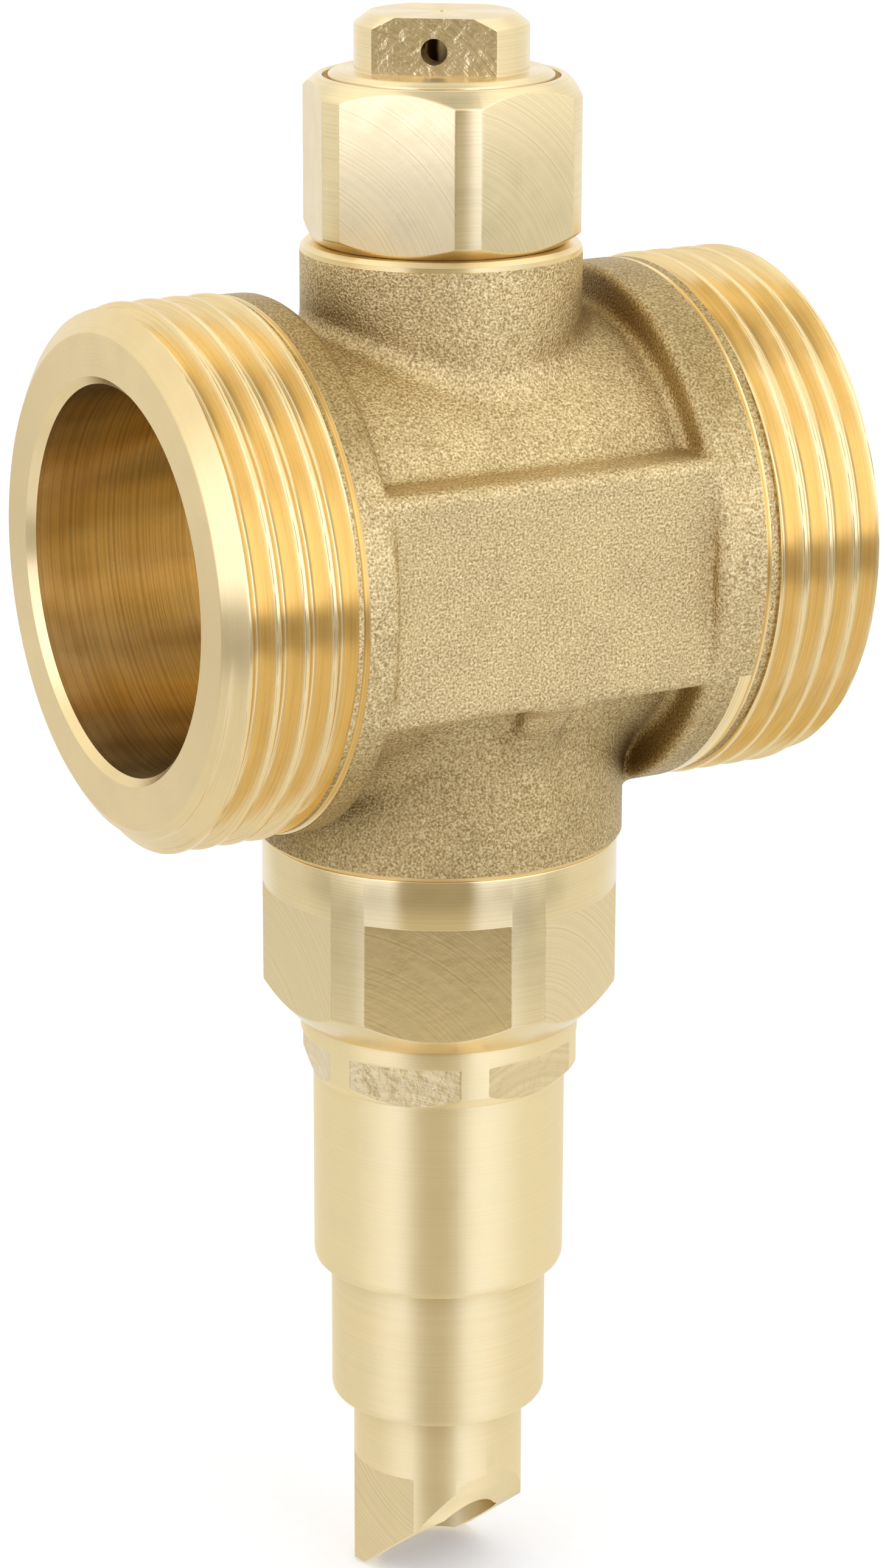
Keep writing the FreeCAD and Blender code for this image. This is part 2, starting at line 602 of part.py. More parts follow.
def shutoff_spring():
    """The spring that closes the shut-off once the cartridge is out."""
    return spring(SHUTOFF_SPRING_R, SHUTOFF_SPRING_WIRE_R, SHUTOFF_DISC_TOP, SHUTOFF_GUIDE_END,
                  SHUTOFF_SPRING_TURNS)


def cartridge_sleeve():
    """The turned sleeve: threaded neck, ring with six flats, and the long plain barrel."""
    nozzle_bore_r = NOZZLE_THREAD_R
    sleeve = turned([
        (SLEEVE_BORE_R, SLEEVE_TOP), (NECK_R, SLEEVE_TOP), (NECK_R, ADAPTER_END), (RING_R, ADAPTER_END),
        (RING_R, RING_END + RING_CHAMFER), (RING_R - RING_CHAMFER, RING_END), (SLEEVE_R, RING_END),
        (SLEEVE_R, SLEEVE_END, SLEEVE_ROUND), (nozzle_bore_r, SLEEVE_END), (nozzle_bore_r, NOZZLE_TOP),
        (PLUG_BORE_R, NOZZLE_TOP), (PLUG_BORE_R, HOLDER_END), (SLEEVE_BORE_R, HOLDER_END)])
    clip_groove = ring(SLEEVE_BORE_R, SLEEVE_BORE_R + HOLDER_CLIP_BITE + THREAD_GAP,
                       HOLDER_TOP, HOLDER_TOP + HOLDER_CLIP_THICKNESS)
    seal_groove = o_ring_groove(NECK_SEAL_R, NECK_R - 2 * NECK_SEAL_R, NECK_R, SLEEVE_TOP - NECK_SEAL_OFFSET)
    ring_flats = flats(6, RING_FLATS, RING_R, RING_END, ADAPTER_END - RING_FLAT_START, RING_TURN)
    return sleeve.cut([clip_groove, seal_groove] + ring_flats)


def cartridge_seal():
    """The rubber ring that seals the sleeve's neck in the holder."""
    return o_ring(NECK_SEAL_R, NECK_R - 2 * NECK_SEAL_R, SLEEVE_TOP - NECK_SEAL_OFFSET)


def wax_element():
    """The wax capsule that feels the water: cup, crimped flange and piston guide."""
    bore_r = PISTON_R + RUNNING_GAP
    flange_top = HOLDER_TOP + FLANGE_THICKNESS
    bore_top = PISTON_TOP + PLUG_TRAVEL + PISTON_BORE_SPARE
    return turned([
        (0, bore_top), (bore_r, bore_top), (bore_r, ELEMENT_END), (ELEMENT_NECK_R, ELEMENT_END),
        (ELEMENT_NECK_R, HOLDER_TOP), (FLANGE_R, HOLDER_TOP), (FLANGE_R, flange_top, FLANGE_THICKNESS / 4),
        (CAPSULE_R, flange_top), (CAPSULE_R, CAPSULE_TOP, CAPSULE_R / 4), (0, CAPSULE_TOP)])


def element_holder():
    """The spider that carries the wax element in the sleeve and lets water past."""
    hole_r = ELEMENT_NECK_R + THREAD_GAP
    return spider(SLEEVE_BORE_R - THREAD_GAP, HOLDER_RING, hole_r + HOLDER_HUB_WALL, hole_r,
                  HOLDER_END, HOLDER_TOP, 4)


def holder_clip():
    """The retaining ring that locks the element's holder on its step."""
    outer_r = SLEEVE_BORE_R + HOLDER_CLIP_BITE
    return split_ring(outer_r - HOLDER_CLIP_WIDTH, outer_r, HOLDER_TOP, HOLDER_TOP + HOLDER_CLIP_THICKNESS,
                      outer_r / 2)


def wax_piston():
    """The pin that the wax pushes down on the drain plug."""
    return rod(PISTON_R, PISTON_END, PISTON_TOP)


def drain_plug():
    """The plug that closes the drain: socket for the piston, disc with water windows, riveted foot."""
    socket_r = PISTON_R + THREAD_GAP
    plug = turned([
        (0, PISTON_END), (socket_r, PISTON_END), (socket_r, PLUG_TOP), (PLUG_BOSS_R, PLUG_TOP),
        (PLUG_BOSS_R, PLUG_DISC_TOP), (PLUG_DISC_R, PLUG_DISC_TOP), (PLUG_DISC_R, PLUG_DISC_END),
        (RIVET_R, PLUG_DISC_END), (RIVET_R, PLUG_SEAL_END), (RIVET_HEAD_R, PLUG_SEAL_END),
        (RIVET_HEAD_R, PLUG_SEAL_END - RIVET_HEAD_THICKNESS, RIVET_HEAD_THICKNESS / 2),
        (0, PLUG_SEAL_END - RIVET_HEAD_THICKNESS)])
    across = 2 * (PLUG_DISC_R - PLUG_WINDOW / 2)
    return plug.cut(flats(3, across, PLUG_DISC_R, PLUG_DISC_END, PLUG_DISC_TOP, 0))


def drain_plug_seal():
    """The rubber washer under the drain plug."""
    return ring(RIVET_R + THREAD_GAP, PLUG_SEAL_R, PLUG_SEAL_END, PLUG_DISC_END)


def return_spring():
    """The spring that lifts the drain plug when the wax shrinks in the cold."""
    return spring(RETURN_SPRING_R, RETURN_SPRING_WIRE_R, NOZZLE_TOP, PLUG_DISC_END, RETURN_SPRING_TURNS)


def tip_cut():
    """The slanted cut across the outlet: a shallow slope, then a steeper one towards the rim."""
    break_level = TIP_END + (TIP_CUT_BREAK - TIP_CUT_START) * math.tan(math.radians(TIP_CUT_ANGLE))
    reach = TIP_R + 2
    rim_level = break_level + (reach - TIP_CUT_BREAK) * math.tan(math.radians(TIP_CUT_STEEP_ANGLE))
    face = outline([(TIP_CUT_START, TIP_END), (TIP_CUT_BREAK, break_level), (reach, rim_level), (reach, TIP_END)])
    face.translate(Vector(0, -reach, 0))
    cutter = face.extrude(Vector(0, 2 * reach, 0))
    cutter.rotate(Vector(), Z_AXIS, TIP_TURN)
    return cutter


def drain_nozzle():
    """The drain nozzle: seat collar and thread inside the sleeve, then the stepped outlet below it."""
    thread_r = NOZZLE_THREAD_R - THREAD_GAP
    outlet_top = TIP_END + OUTLET_DEPTH
    nozzle = turned([
        (COLLAR_BORE_R, DRAIN_SEAT), (DRAIN_COLLAR_R, DRAIN_SEAT), (DRAIN_COLLAR_R, NOZZLE_TOP),
        (thread_r, NOZZLE_TOP), (thread_r, SLEEVE_END), (NOZZLE_R, SLEEVE_END),
        (NOZZLE_R, NOZZLE_SHOULDER_END, NOZZLE_ROUND), (TIP_R, NOZZLE_SHOULDER_END), (TIP_R, TIP_END),
        (OUTLET_R, TIP_END), (OUTLET_R, outlet_top), (COLLAR_BORE_R, outlet_top)])
    groove = o_ring_groove(NOZZLE_SEAL_R, thread_r - 2 * NOZZLE_SEAL_R, thread_r, NOZZLE_TOP - NOZZLE_SEAL_OFFSET)
    flat_start = NOZZLE_SHOULDER_END - TIP_FLAT_START
    return nozzle.cut([groove, tip_cut()] + flats(2, TIP_FLATS, TIP_R, TIP_END, flat_start, TIP_TURN))


def nozzle_seal():
    """The rubber ring that seals the nozzle in the sleeve."""
    inner_r = NOZZLE_THREAD_R - THREAD_GAP - 2 * NOZZLE_SEAL_R
    return o_ring(NOZZLE_SEAL_R, inner_r, NOZZLE_TOP - NOZZLE_SEAL_OFFSET)


PIECES = [
    valve_body, vent_nut, vent_gasket, vent_guide, vent_poppet, vent_poppet_seal, vent_spring,
    vent_stem_clip, vent_cap, vent_cap_seal, adapter, adapter_seal, shutoff_guide, shutoff_disc,
    shutoff_seal, shutoff_spring, cartridge_sleeve, cartridge_seal, wax_element, element_holder,
    holder_clip, wax_piston, drain_plug, drain_plug_seal, return_spring, drain_nozzle, nozzle_seal,
]

os.makedirs("parts", exist_ok=True)
for piece in PIECES:
    piece().exportStep("parts/" + piece.__name__ + ".step")
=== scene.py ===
import math

import bmesh
import bpy
import numpy as np
from mathutils import Matrix, Vector


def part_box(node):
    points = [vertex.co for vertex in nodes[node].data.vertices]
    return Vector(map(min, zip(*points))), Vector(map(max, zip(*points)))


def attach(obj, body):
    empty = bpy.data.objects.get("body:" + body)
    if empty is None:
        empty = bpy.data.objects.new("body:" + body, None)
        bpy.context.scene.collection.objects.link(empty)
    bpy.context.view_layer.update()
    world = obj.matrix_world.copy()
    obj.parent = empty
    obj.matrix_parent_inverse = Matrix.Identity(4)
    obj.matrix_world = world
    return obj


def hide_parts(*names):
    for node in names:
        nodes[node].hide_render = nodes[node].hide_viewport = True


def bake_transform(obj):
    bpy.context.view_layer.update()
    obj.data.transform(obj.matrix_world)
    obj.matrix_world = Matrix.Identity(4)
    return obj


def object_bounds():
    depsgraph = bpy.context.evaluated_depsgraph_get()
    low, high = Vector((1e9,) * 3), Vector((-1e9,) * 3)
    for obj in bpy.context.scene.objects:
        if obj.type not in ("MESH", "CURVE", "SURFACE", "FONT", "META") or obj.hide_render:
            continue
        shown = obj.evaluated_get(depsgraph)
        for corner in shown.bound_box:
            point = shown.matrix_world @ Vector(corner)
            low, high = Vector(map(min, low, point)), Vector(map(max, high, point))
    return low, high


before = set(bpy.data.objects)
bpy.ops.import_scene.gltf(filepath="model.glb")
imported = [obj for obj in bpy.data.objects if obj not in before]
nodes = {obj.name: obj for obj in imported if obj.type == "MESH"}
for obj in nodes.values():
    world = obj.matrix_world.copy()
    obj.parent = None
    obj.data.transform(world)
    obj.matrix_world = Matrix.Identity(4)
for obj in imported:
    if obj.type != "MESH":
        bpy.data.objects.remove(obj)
cad_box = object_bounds()
MM = 0.001  # sizes below are in millimetres, and the scene is in metres


# The body casting: a brass tee cast in sand and shot-blasted, so its skin is dull, grainy and softly blended.
# The forms are the barrel, two collars, a pad front and back with a short rib under it, and two bosses.
# The bores, the boss faces and the grooves behind the threads are turned afterwards and stay bright.

body_low, body_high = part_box("valve_body")
BODY_TOP = body_high.z / MM
BODY_BOTTOM = body_low.z / MM
RUN_HALF = body_high.x / MM

WATERWAY_R = 15.0
BARREL_R = 17.8
COLLAR_R = 20.855
COLLAR_SAG = 0.09
COLLAR_INNER_LEFT = 14.5
COLLAR_INNER_RIGHT = 12.9
COLLAR_ROUND = 0.9
COLLAR_FILLET = 0.8
COLLAR_BAND_START = 15.9
COLLAR_BAND_R = 20.83
RELIEF_LEFT = 17.3
RELIEF_RIGHT = 17.0
RELIEF_WIDTH = 0.5
RELIEF_R = 20.38
STRIP_R = 20.705
THREAD_START = 18.2
PAD_FRONT = 19.4
PAD_HALF_HEIGHT = 9.0
PAD_ROUND = 1.0
PAD_FILLET = 0.45
RIB_HALF_WIDTH = 2.0
RIB_INSET = 1.1
RIB_DROP = 4.5
RIB_ROUND = 0.8
RIB_FILLET = 1.3
TOP_BOSS_R = 10.95
BOTTOM_BOSS_R = 14.6
TOP_BOSS_FILLET = 1.3
BOTTOM_BOSS_FILLET = 1.7
TOP_BAND_R = 10.85
TOP_BAND_HEIGHT = 0.7
TOP_BAND_CHAMFER = 0.35
FOOT_CHAMFER = 0.45
VENT_BORE_R = 8.4
GASKET_SEAT_R = 9.5
GASKET_SEAT_DEPTH = 1.0
DRAIN_BORE_R = 11.1
RECESS_REACH = 7.0
# Where the skin is browner on the collars (spans along the run and in height), and the span and share of the
# painted shade that darkens the underside below the pad.
COLLAR_BROWN_OUT = (12.0 * MM, 14.5 * MM)
COLLAR_BROWN_HEIGHT = (7.0 * MM, 14.0 * MM)
UNDERSIDE_SHADE_SPAN = (-8.0 * MM, -13.0 * MM)
UNDERSIDE_SHADE_SHARE = 0.6
SKIN_WAVE = 0.03
SPARE = 2.0  # how far cutters and blocks reach past the piece
NEAR = 0.04  # a face this close to a tool's path was cut by it
CUT_DEPTH = 0.03  # and so was a collar's face this far under the cast skin
FACE_SIZE = 0.3
FIRST_ROUNDS = 6
EVEN_ROUNDS = 2
LATER_ROUNDS = 3
BLOCK_STEPS = 128
TURNED_STEPS = 192


def node(tree, kind, **settings):
    """A shader node. Settings named by a socket set or feed that socket, and the others set the node itself."""
    made = tree.nodes.new("ShaderNode" + kind)
    for key, value in settings.items():
        if isinstance(value, bpy.types.NodeSocket):
            tree.links.new(value, made.inputs[key])
        elif key in made.inputs:
            made.inputs[key].default_value = value
        else:
            setattr(made, key, value)
    return made


def shader_tree(name, metallic=1.0):
    """A new material, its tree, its Principled shader and the place on the piece."""
    material = bpy.data.materials.new(name)
    material.use_nodes = True
    tree = material.node_tree
    shader = tree.nodes["Principled BSDF"]
    shader.inputs["Metallic"].default_value = metallic
    return material, tree, shader, node(tree, "TexCoord").outputs["Object"]


def noise_at(tree, place, size, detail=2.0):
    """Noise whose lumps are about size millimetres, at the place given by a vector socket."""
    return node(tree, "TexNoise", Vector=place, Scale=1 / (size * MM), Detail=detail).outputs["Fac"]


def ramp(tree, factor, stops):
    """Colours or greys between the stops (position, colour)."""
    made = node(tree, "ValToRGB", Fac=factor)
    while len(made.color_ramp.elements) < len(stops):
        made.color_ramp.elements.new(0.5)
    for element, (position, colour) in zip(made.color_ramp.elements, stops):
        element.position = position
        element.color = (*colour, 1.0)
    return made.outputs["Color"]


def grey(value):
    return value, value, value


def maths(tree, operation, one, other=0.0):
    """A sum on one value or two, of which the other may be a plain number."""
    made = node(tree, "Math", operation=operation)
    tree.links.new(one, made.inputs[0])
    if isinstance(other, float):
        made.inputs[1].default_value = other
    else:
        tree.links.new(other, made.inputs[1])
    return made.outputs["Value"]


def times(tree, one, other):
    """One colour multiplied by another."""
    made = node(tree, "Mix", data_type="RGBA", blend_type="MULTIPLY", Factor=1.0, A=one, B=other)
    return made.outputs["Result"]


def eased(tree, value, span):
    """0 before the span and 1 after it, with a soft step between."""
    ends = {"From Min": span[0], "From Max": span[1]}
    return node(tree, "MapRange", interpolation_type="SMOOTHSTEP", Value=value, **ends).outputs["Result"]


def raised(tree, shader, layers):
    """Raises the skin by layers of (height, strength, depth in millimetres), each over the one before."""
    under = None
    for height, strength, depth in layers:
        bump = node(tree, "Bump", Height=height, Strength=strength, Distance=depth * MM)
        if under:
            tree.links.new(under, bump.inputs["Normal"])
        under = bump.outputs["Normal"]
    tree.links.new(under, shader.inputs["Normal"])


def cast_skin():
    """Shot-blasted brass: fine dimples with dark pits and bright peaks, browner skin on the collars away from
    their middle height, and painted shade on the underside and in the recesses.
    """
    material, tree, shader, place = shader_tree("cast_brass_skin")
    dimples = noise_at(tree, place, 0.19, 4.0)
    fine = noise_at(tree, place, 0.11, 3.0)
    patches = noise_at(tree, place, 5.0, 3.0)
    tone = ramp(tree, dimples, [
        (0.33, (0.40, 0.28, 0.12)), (0.5, (0.69, 0.525, 0.25)), (0.67, (0.97, 0.81, 0.47))])
    shade = ramp(tree, patches, [(0.35, grey(0.9)), (0.65, grey(1.0))])
    # Painted shade: the skin's colour is darkened where ambient occlusion finds recesses and corners, standing
    # in for the shade that falls there.
    recess = node(tree, "AmbientOcclusion", samples=6, Distance=RECESS_REACH * MM)
    painted_recess_shade = ramp(tree, recess.outputs["AO"], [
        (0.25, (0.54, 0.47, 0.35)), (0.62, (0.80, 0.77, 0.70)), (0.9, grey(1.0))])
    parts = node(tree, "SeparateXYZ", Vector=place).outputs
    # The collars are browner away from their middle height, and the underside below the pad is darkened as
    # painted shade; both take one tint.
    on_collar = eased(tree, maths(tree, "ABSOLUTE", parts["X"]), COLLAR_BROWN_OUT)
    on_top = eased(tree, maths(tree, "ABSOLUTE", parts["Z"]), COLLAR_BROWN_HEIGHT)
    collar_rim = maths(tree, "MULTIPLY", on_collar, on_top)
    underside_shade_mask = eased(tree, parts["Z"], UNDERSIDE_SHADE_SPAN)
    collar_brown_and_shade_mask = maths(tree, "MAXIMUM", collar_rim, maths(tree, "MULTIPLY", underside_shade_mask, UNDERSIDE_SHADE_SHARE))
    collar_brown_and_underside_shade = ramp(tree, collar_brown_and_shade_mask, [(0, grey(1.0)), (1, (0.68, 0.64, 0.54))])
    skin_before_recess_shade = times(tree, times(tree, tone, shade), collar_brown_and_underside_shade)
    tree.links.new(times(tree, skin_before_recess_shade, painted_recess_shade), shader.inputs["Base Color"])
    raised(tree, shader, [(dimples, 0.9, 0.12), (fine, 0.4, 0.05)])
    shader.inputs["Roughness"].default_value = 0.46
    return material


def turned_brass(name, along, feed, groove, roughness, colour, line_depth=0.12):
    """Lathe-turned brass: fine grooves round the axis, which also spread what it mirrors across them."""
    material, tree, shader, place = shader_tree(name)
    parts = node(tree, "SeparateXYZ", Vector=place).outputs
    across = [parts[axis] for axis in "XYZ" if axis != along]
    flat_place = node(tree, "CombineXYZ", X=across[0], Y=across[1]).outputs["Vector"]
    radius = node(tree, "VectorMath", operation="LENGTH", Vector=flat_place).outputs["Value"]
    lathe_place = node(tree, "CombineXYZ", X=parts[along], Y=radius).outputs["Vector"]
    grooves = noise_at(tree, lathe_place, feed, 3.0)
    wander = noise_at(tree, place, 3.5, 2.0)
    tone = ramp(tree, wander, [(0.3, [0.95 * c for c in colour]), (0.7, colour)])
    lines = ramp(tree, grooves, [(0.36, grey(1 - line_depth)), (0.55, grey(1.0))])
    tree.links.new(times(tree, tone, lines), shader.inputs["Base Color"])
    gloss = ramp(tree, wander, [(0.3, grey(roughness * 0.9)), (0.7, grey(roughness * 1.15))])
    tree.links.new(gloss, shader.inputs["Roughness"])
    raised(tree, shader, [(grooves, 0.5, groove)])
    groove_way = node(tree, "Tangent", direction_type="RADIAL", axis=along)
    tree.links.new(groove_way.outputs["Tangent"], shader.inputs["Tangent"])
    shader.inputs["Anisotropic"].default_value = 0.85
    shader.inputs["Anisotropic Rotation"].default_value = 0.25
    return material


def spun(profiles, angles):
    """A mesh of closed profiles (radius, height), one at each angle round the Z axis."""
    made = bmesh.new()
    columns = []
    for profile, angle in zip(profiles, angles):
        x = math.cos(angle) * MM
        y = math.sin(angle) * MM
        columns.append([made.verts.new((r * x, r * y, z * MM)) for r, z in profile])
    for i, there in enumerate(columns):
        here = columns[i - 1]
        for j in range(len(there)):
            made.faces.new((here[j - 1], there[j - 1], there[j], here[j]))
    bmesh.ops.remove_doubles(made, verts=made.verts, dist=0.001 * MM)
    bmesh.ops.recalc_face_normals(made, faces=made.faces)
    return made


def even_angles(count):
    return [2 * math.pi * i / count for i in range(count)]


def as_piece(name, made, materials, along="Z", sharp=40):
    """The scene's object of a mesh that was spun about Z, laid along X if asked."""
    if along == "X":
        made.transform(Matrix.Rotation(math.radians(90), 4, "Y"))
    mesh = bpy.data.meshes.new(name)
    made.to_mesh(mesh)
    made.free()
    for material in materials:
        mesh.materials.append(material)
    mesh.shade_smooth()
    mesh.set_sharp_from_angle(angle=math.radians(sharp))
    piece = bpy.data.objects.new(name, mesh)
    bpy.context.scene.collection.objects.link(piece)
    return piece


def tool(corners, along="Z"):
    """A turned solid to cut with."""
    made = spun([corners] * TURNED_STEPS, even_angles(TURNED_STEPS))
    return as_piece("tool", made, [], along)


def bake(piece):
    """Puts the shape that a piece's modifiers give in place of its mesh."""
    bpy.context.view_layer.update()
    whole = piece.evaluated_get(bpy.context.evaluated_depsgraph_get())
    shaped = bpy.data.meshes.new_from_object(whole)
    piece.modifiers.clear()
    worn = piece.data
    piece.data = shaped
    bpy.data.meshes.remove(worn)
    shaped.name = piece.name


def cut(piece, cutters, sharp=40):
    """Takes the cutters away from a piece, clears them off the scene and smooths what is left."""
    for cutter in cutters:
        step = piece.modifiers.new("cut", "BOOLEAN")
        step.operation = "DIFFERENCE"
        step.solver = "MANIFOLD"
        step.object = cutter
    bake(piece)
    piece.data.shade_smooth()
    piece.data.set_sharp_from_angle(angle=math.radians(sharp))
    for cutter in cutters:
        bpy.data.objects.remove(cutter)


def rod_distance(radial, axial):
    """Distance to a solid round bar, from the distances outside its side and its ends."""
    outside = np.hypot(np.maximum(radial, 0), np.maximum(axial, 0))
    return np.minimum(np.maximum(radial, axial), 0) + outside


def run_bar(p, radius, start, end, edge=0.0):
    """Distance to a bar along X, with its edges rounded."""
    radial = np.hypot(p[:, 1], p[:, 2]) - radius + edge
    axial = np.maximum(start - p[:, 0], p[:, 0] - end) + edge
    return rod_distance(radial, axial) - edge


def boss_bar(p, radius, start, end):
    """Distance to a bar along Z."""
    radial = np.hypot(p[:, 0], p[:, 1]) - radius
    return rod_distance(radial, np.maximum(start - p[:, 2], p[:, 2] - end))


def pad_block(p):
    """Distance to the bar of rectangular section that makes both pads."""
    y = np.abs(p[:, 1]) - PAD_FRONT + PAD_ROUND
    z = np.abs(p[:, 2]) - PAD_HALF_HEIGHT + PAD_ROUND
    x = np.maximum(-p[:, 0] - COLLAR_INNER_LEFT, p[:, 0] - COLLAR_INNER_RIGHT) - 2 * COLLAR_ROUND
    section = rod_distance(y, z) - PAD_ROUND
    return np.maximum(section, x)


def rib_web(p):
    """Distance to the web under both pads, which slopes in from the pad's edge to the bottom boss."""
    pad_edge = PAD_FRONT - RIB_INSET
    run = pad_edge - BOTTOM_BOSS_R
    slope = math.hypot(run, RIB_DROP)
    below = ((np.abs(p[:, 1]) - pad_edge) * RIB_DROP - (p[:, 2] + PAD_HALF_HEIGHT) * run) / slope
    side = np.abs(p[:, 0]) - RIB_HALF_WIDTH
    web = rod_distance(side + RIB_ROUND, below + RIB_ROUND) - RIB_ROUND
    return np.maximum(np.maximum(web, p[:, 2] + PAD_HALF_HEIGHT - RIB_INSET), np.abs(p[:, 1]) - pad_edge)


def blended(one, other, radius):
    """The distance to two joined solids, with a fillet between them."""
    fillet = np.hypot(np.maximum(radius - one, 0), np.maximum(radius - other, 0))
    return np.maximum(radius, np.minimum(one, other)) - fillet


def casting_distance(p):
    """Distance from points to the casting's skin, before anything is turned."""
    reach = THREAD_START + SPARE
    sunk = p + np.array((0, 0, COLLAR_SAG))
    body = run_bar(p, BARREL_R, -reach, reach)
    for form, fillet in (
            (boss_bar(p, TOP_BOSS_R, 0, BODY_TOP + SPARE), TOP_BOSS_FILLET),
            (boss_bar(p, BOTTOM_BOSS_R, BODY_BOTTOM - SPARE, 0), BOTTOM_BOSS_FILLET),
            (run_bar(sunk, COLLAR_R, -reach, -COLLAR_INNER_LEFT, COLLAR_ROUND), COLLAR_FILLET),
            (run_bar(sunk, COLLAR_R, COLLAR_INNER_RIGHT, reach, COLLAR_ROUND), COLLAR_FILLET),
            (pad_block(p), PAD_FILLET), (rib_web(p), RIB_FILLET)):
        body = blended(body, form, fillet)
    wave = np.sin(p[:, 0] / 2.3 + 1.0) * np.sin(p[:, 1] / 2.9) * np.sin(p[:, 2] / 2.6 + 0.5)
    return body + SKIN_WAVE * (1 + wave)


def settle(points, rounds):
    """Moves points onto the casting's skin, along the way the distance grows."""
    small = 0.01
    least_steep = 0.25
    for _ in range(rounds):
        here = casting_distance(points)
        slope = np.empty_like(points)
        for axis in range(3):
            shift = np.zeros(3)
            shift[axis] = small
            rise = casting_distance(points + shift) - casting_distance(points - shift)
            slope[:, axis] = rise / (2 * small)
        steep = np.maximum((slope ** 2).sum(axis=1), least_steep)
        points = points - slope * (here / steep)[:, None]
    return points


def rough_casting():
    """The casting's forms as overlapping blocks, remeshed into one skin of even faces."""
    reach = THREAD_START + SPARE / 2
    blocks = bmesh.new()
    lay = Matrix.Rotation(math.radians(90), 4, "Y")
    bars = [
        (BARREL_R, -reach, reach, lay), (COLLAR_R, -reach, -COLLAR_INNER_LEFT, lay),
        (COLLAR_R, COLLAR_INNER_RIGHT, reach, lay), (TOP_BOSS_R, 0, BODY_TOP + SPARE / 2, Matrix()),
        (BOTTOM_BOSS_R, BODY_BOTTOM - SPARE / 2, 0, Matrix())]
    for radius, start, end, turn in bars:
        middle = Matrix.Translation((0, 0, (start + end) / 2))
        bmesh.ops.create_cone(blocks, cap_ends=True, segments=BLOCK_STEPS, radius1=radius, radius2=radius,
                              depth=end - start, matrix=turn @ middle)
    rib_depth = PAD_FRONT + BOTTOM_BOSS_R
    length = COLLAR_INNER_LEFT + COLLAR_INNER_RIGHT
    slabs = [((length, 2 * PAD_FRONT, 2 * PAD_HALF_HEIGHT), (COLLAR_INNER_RIGHT - length / 2, 0, 0)),
             ((2 * RIB_HALF_WIDTH, rib_depth, RIB_DROP), (0, 0, -PAD_HALF_HEIGHT))]
    for size, spot in slabs:
        bmesh.ops.create_cube(blocks, size=1, matrix=Matrix.Translation(spot) @ Matrix.Diagonal((*size, 1)))
    piece = as_piece("body_casting", blocks, [])
    remesh = piece.modifiers.new("even", "REMESH")
    remesh.mode = "VOXEL"
    remesh.voxel_size = FACE_SIZE
    bake(piece)
    return piece


def relax(mesh, points):
    """Moves each point halfway to the middle of its neighbours, which evens the faces out."""
    ends = np.empty(len(mesh.edges) * 2, np.int64)
    mesh.edges.foreach_get("vertices", ends)
    one, other = ends[0::2], ends[1::2]
    total = np.zeros_like(points)
    count = np.zeros(len(points))
    np.add.at(total, one, points[other])
    np.add.at(total, other, points[one])
    np.add.at(count, one, 1)
    np.add.at(count, other, 1)
    return (points + total / count[:, None]) / 2


def body_tools():
    """Everything that is turned or bored in the body."""
    reach = THREAD_START + 2 * SPARE
    above = BODY_TOP + 2 * SPARE
    below = BODY_BOTTOM - 2 * SPARE
    band_low = BODY_TOP - TOP_BAND_HEIGHT
    beyond = COLLAR_R + SPARE
    waterway = tool([(0, -reach), (WATERWAY_R, -reach), (WATERWAY_R, reach), (0, reach)], "X")
    seat = BODY_TOP - GASKET_SEAT_DEPTH
    vent = tool([(0, 0), (VENT_BORE_R, 0), (VENT_BORE_R, seat), (GASKET_SEAT_R, seat), (GASKET_SEAT_R, above),
                 (0, above)])
    drain = tool([(0, below), (DRAIN_BORE_R, below), (DRAIN_BORE_R, 0), (0, 0)])
    top = tool([(0, BODY_TOP), (TOP_BAND_R - TOP_BAND_CHAMFER, BODY_TOP),
                (TOP_BAND_R, BODY_TOP - TOP_BAND_CHAMFER), (TOP_BAND_R, band_low),
                (TOP_BOSS_R + SPARE, band_low), (TOP_BOSS_R + SPARE, above), (0, above)])
    foot_r = BOTTOM_BOSS_R - FOOT_CHAMFER
    bottom = tool([(0, below), (BOTTOM_BOSS_R + SPARE, below),
                   (BOTTOM_BOSS_R + SPARE, BODY_BOTTOM + FOOT_CHAMFER + SPARE), (foot_r, BODY_BOTTOM),
                   (0, BODY_BOTTOM)])
    ends = []
    for side, groove, band in ((-1, RELIEF_LEFT, RELIEF_LEFT), (1, RELIEF_RIGHT, COLLAR_BAND_START)):
        profile = [(0, THREAD_START), (STRIP_R, THREAD_START), (STRIP_R, groove + RELIEF_WIDTH),
                   (RELIEF_R, groove + RELIEF_WIDTH / 2), (COLLAR_BAND_R, groove), (COLLAR_BAND_R, band),
                   (beyond, band), (beyond, reach), (0, reach)]
        ends.append(tool([(r, side * x) for r, x in profile], "X"))
    return [waterway, vent, drain, top, bottom, *ends]


